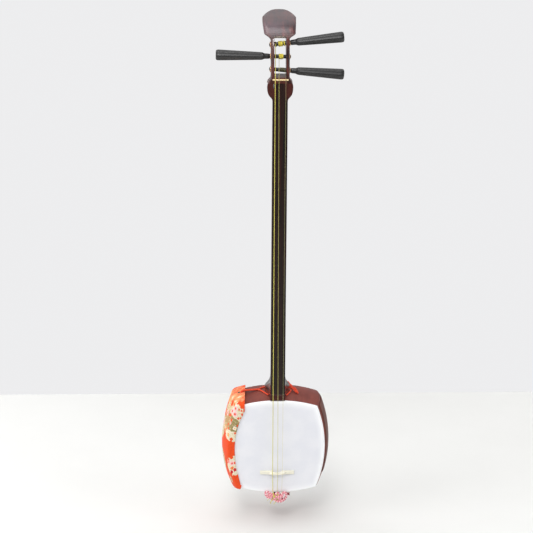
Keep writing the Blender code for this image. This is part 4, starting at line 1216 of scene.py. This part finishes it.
def knee_pad(material):
    """Thin rubber strip that follows the right board's bulge."""
    low, high, last = -0.66, 0.93, 44
    ys = [-36, -35.6, -34, -28, -21, -14, -7, 0, 7, 14, 21, 27, 30.6, 31]
    rings = []
    for i in range(last + 1):
        u = low + (high - low) * i / last
        thick = 1.9 if 0 < i < last else 1.4
        section = [(swell(y) + (thick if 0 < j < len(ys) - 1 else 1.3), y) for j, y in enumerate(ys)]
        section += [(swell(y) + 0.15, y) for y in (31, 20, 7, -7, -20, -31, -36)]
        ring = [(rim("right", u, off), y) for off, y in section]
        rings.append([(x, y, z) for (x, z), y in ring])
    make("knee_rubber_sheet", *loft(rings), material, slot="rubber", stands_for=("knee_rubber",), sharp=50)


# ------------------------------------------------------------ stage, lights, camera
FLOOR_Z, FLOOR_FAR, FLOOR_REACH = -0.065, 0.676, 2.6
CAMERA_AT, PITCH, YAW, ROLL = (-0.0762, -1.8834, 0.9501), 14.404, 1.653, 0.293
SENSOR, FOCAL_IN_WIDTHS = 36.0, 1000.0 / 533.0
LIGHTS = (  # name, place, target, size, power
    ("overhead", (0, 0.1, 2.9), (0, 0, 0), (2.2, 2.2), 19.5),
    ("front_top", (-0.25, -2.1, 2.92), (0, 0, 0.6), (2.3, 1.4), 17.5),
    ("high_front", (-0.45, -1.6, 3.05), (0, 0, 0.9), (1.3, 0.6), 10),
    ("highlight", (-0.45, -2.25, 2.41), (0, 0, 0.9), (0.7, 0.28), 19),
    ("left_front", (-1, -2.2, 2.2), (0, 0, 0.7), (1.1, 0.8), 3),
    ("left_box", (-1.7, -0.75, 1), (0, 0, 0.5), (0.9, 1.6), 16.5),
    ("right_box", (1.7, -0.65, 0.9), (0, 0, 0.5), (0.7, 1.5), 8.5),
    ("left_rim", (-1.5, 1.1, 1.1), (0, 0, 0.5), (0.7, 1.5), 10),
    ("right_rim", (1.5, 1.1, 1), (0, 0, 0.5), (0.6, 1.4), 6))


def stage():
    """Pale floor that ends where the photo's wall begins."""
    mesh = bpy.data.meshes.new("floor")
    mesh.from_pydata([(x, y, FLOOR_Z) for x, y in ((-FLOOR_REACH, -FLOOR_REACH),
                                                   (FLOOR_REACH, -FLOOR_REACH), (FLOOR_REACH, FLOOR_FAR),
                                                   (-FLOOR_REACH, FLOOR_FAR))], [], [(0, 1, 2, 3)])
    m = Material("floor_pale")
    speck = m.noise(m.place(), 9.0, 3, 0.5)
    mesh.materials.append(m.finish(m.mix(speck, (0.76, 0.76, 0.745), (0.79, 0.79, 0.775)), 0.7,
                                   Specular_IOR_Level=0.2))
    linked("floor", mesh)


def light(name, at, target, size, power):
    """Soft rectangular lamp aimed at a target."""
    data = bpy.data.lights.new(name, "AREA")
    data.shape, data.size, data.size_y, data.energy = "RECTANGLE", *size, power
    obj = linked(name, data)
    obj.location = at
    obj.rotation_mode = "QUATERNION"
    obj.rotation_quaternion = (Vector(target) - Vector(at)).to_track_quat("-Z", "Y")


def world():
    """Even pale wall for the camera; for the light, a room that is brighter behind the object."""
    room = bpy.data.worlds.new("studio")
    bpy.context.scene.world = room
    room.use_nodes = True
    w = Nodes(room.node_tree)
    w.tree.nodes.clear()
    out = w.node("ShaderNodeOutputWorld")
    values = {"Value": w.split(w.fed("TexCoord", ())["Generated"])[1], "From Min": -0.9, "From Max": 0.3,
              "To Min": 0.22, "To Max": 0.5}
    lit = w.fed("Background", {"Color": w.fed("MapRange", values, interpolation_type="SMOOTHSTEP")[0]})[0]
    seen = w.fed("Background", {"Color": (0.85, 0.85, 0.86)})[0]
    picked = w.fed("MixShader", (w.fed("LightPath", ())["Is Camera Ray"], lit, seen))[0]
    w.put(out.inputs["Surface"], picked)


def camera():
    """Camera fitted to the photo: its place, then how far it looks down, turns right and rolls."""
    data = bpy.data.cameras.new("camera")
    data.sensor_width, data.lens = SENSOR, SENSOR * FOCAL_IN_WIDTHS
    data.clip_start, data.clip_end = 0.05, 50
    cam = linked("camera", data)
    cam.location = CAMERA_AT
    pitch, yaw, roll = math.radians(PITCH), math.radians(YAW), math.radians(ROLL)
    forward = Vector((math.sin(yaw) * math.cos(pitch), math.cos(yaw) * math.cos(pitch), -math.sin(pitch)))
    level = Vector((math.cos(yaw), -math.sin(yaw), 0))
    upright = level.cross(forward)
    right = level * math.cos(roll) + upright * math.sin(roll)
    up = -level * math.sin(roll) + upright * math.cos(roll)
    cam.rotation_mode = "QUATERNION"
    cam.rotation_quaternion = Matrix((right, up, -forward)).transposed().to_quaternion()
    bpy.context.scene.camera = cam


def main():
    """Stage, materials and pieces, in this order."""
    bpy.context.scene.view_settings.view_transform = "Standard"
    camera()
    world()
    for row in LIGHTS:
        light(*row)
    stage()
    head_wood = rosewood("head_wood", (0.160, 0.034, 0.024), (0.018, 0.008, 0.007), False, 0.27, 0.42)
    neck_wood = rosewood("neck_wood", (0.100, 0.022, 0.017), (0.0085, 0.0072, 0.0062), True, 0.22, 0.0)
    polished = rosewood("neck_wood_polished", (0.070, 0.020, 0.016), (0.010, 0.0085, 0.0080), True, 0.9, 0.5)
    silk = twisted("string_silk", (0.72, 0.65, 0.13), (0.50, 0.44, 0.08), 3.4, 1.0, 0.45)
    fine_silk = twisted("string_silk_fine", (0.62, 0.57, 0.20), (0.44, 0.40, 0.12), 3.4, 1.0, 0.5,
                        upper=(0.33, 0.30, 0.08))
    thin_silk = twisted("string_silk_thin", (0.72, 0.68, 0.42), (0.56, 0.52, 0.28), 3.4, 1.0, 0.55,
                        upper=(0.17, 0.16, 0.055))
    bundle = twisted("string_silk_bundle", (0.96, 0.84, 0.13), (0.74, 0.61, 0.06), 3.4, 1.0, 0.45)
    dull = twisted("string_silk_dull", (0.24, 0.21, 0.05), (0.09, 0.08, 0.02), 3.4, 1.0, 0.5)
    ivory = bone("bridge_ivory", (0.80, 0.77, 0.63), (0.86, 0.83, 0.72), 0.34)
    # painted shade: near-black for the shade inside the cover's eyelet
    hole_painted_shade = bone("eyelet_hole_painted_shade", (0.012, 0.008, 0.010), (0.020, 0.014, 0.016), 0.9)
    horn = bone("upper_bridge_horn", (0.80, 0.60, 0.30), (0.86, 0.72, 0.45), 0.32)
    gilt = metal("gilt_metal_worn", (0.74, 0.45, 0.23), (0.46, 0.26, 0.13), 0.25)
    steel = metal("steel_worn", (0.50, 0.50, 0.49), (0.28, 0.28, 0.28), 0.28)
    dark_steel = metal("steel_dark", (0.16, 0.155, 0.155), (0.07, 0.07, 0.07), 0.34)
    pink = twisted("cord_pink_braid", (0.84, 0.40, 0.44), (0.60, 0.16, 0.20), 1.3, 1.0, 0.8,
                   fleck=(0.95, 0.80, 0.80), sheen=0.3)
    deep = twisted("cord_deep_red", (0.34, 0.012, 0.014), (0.14, 0.006, 0.008), 0.8, 1.0, 0.75)
    red = twisted("cord_vermilion", (0.84, 0.080, 0.022), (0.56, 0.030, 0.010), 1.3, 4.0, 0.7, sheen=0.3)
    boards(quince_wood())
    skins(skin_hide())
    neck(neck_wood, polished)
    head(head_wood, cut_wood_painted_sheen())
    peg_wood = ebony()
    for name in PEGS:
        peg(name, peg_wood)
        collars(name, gilt)
    for name in PEGS:
        winding(name, bundle, dull)
    fittings(horn, steel, dark_steel)
    bridge(ivory)
    strings(silk, fine_silk, thin_silk)
    tail_cord(pink, deep, silk)
    over = arm_cover(cover_cloth(), plain_back(), gilt, hole_painted_shade)
    cover_cords(red, over)
    knee_pad(rubber())

main()
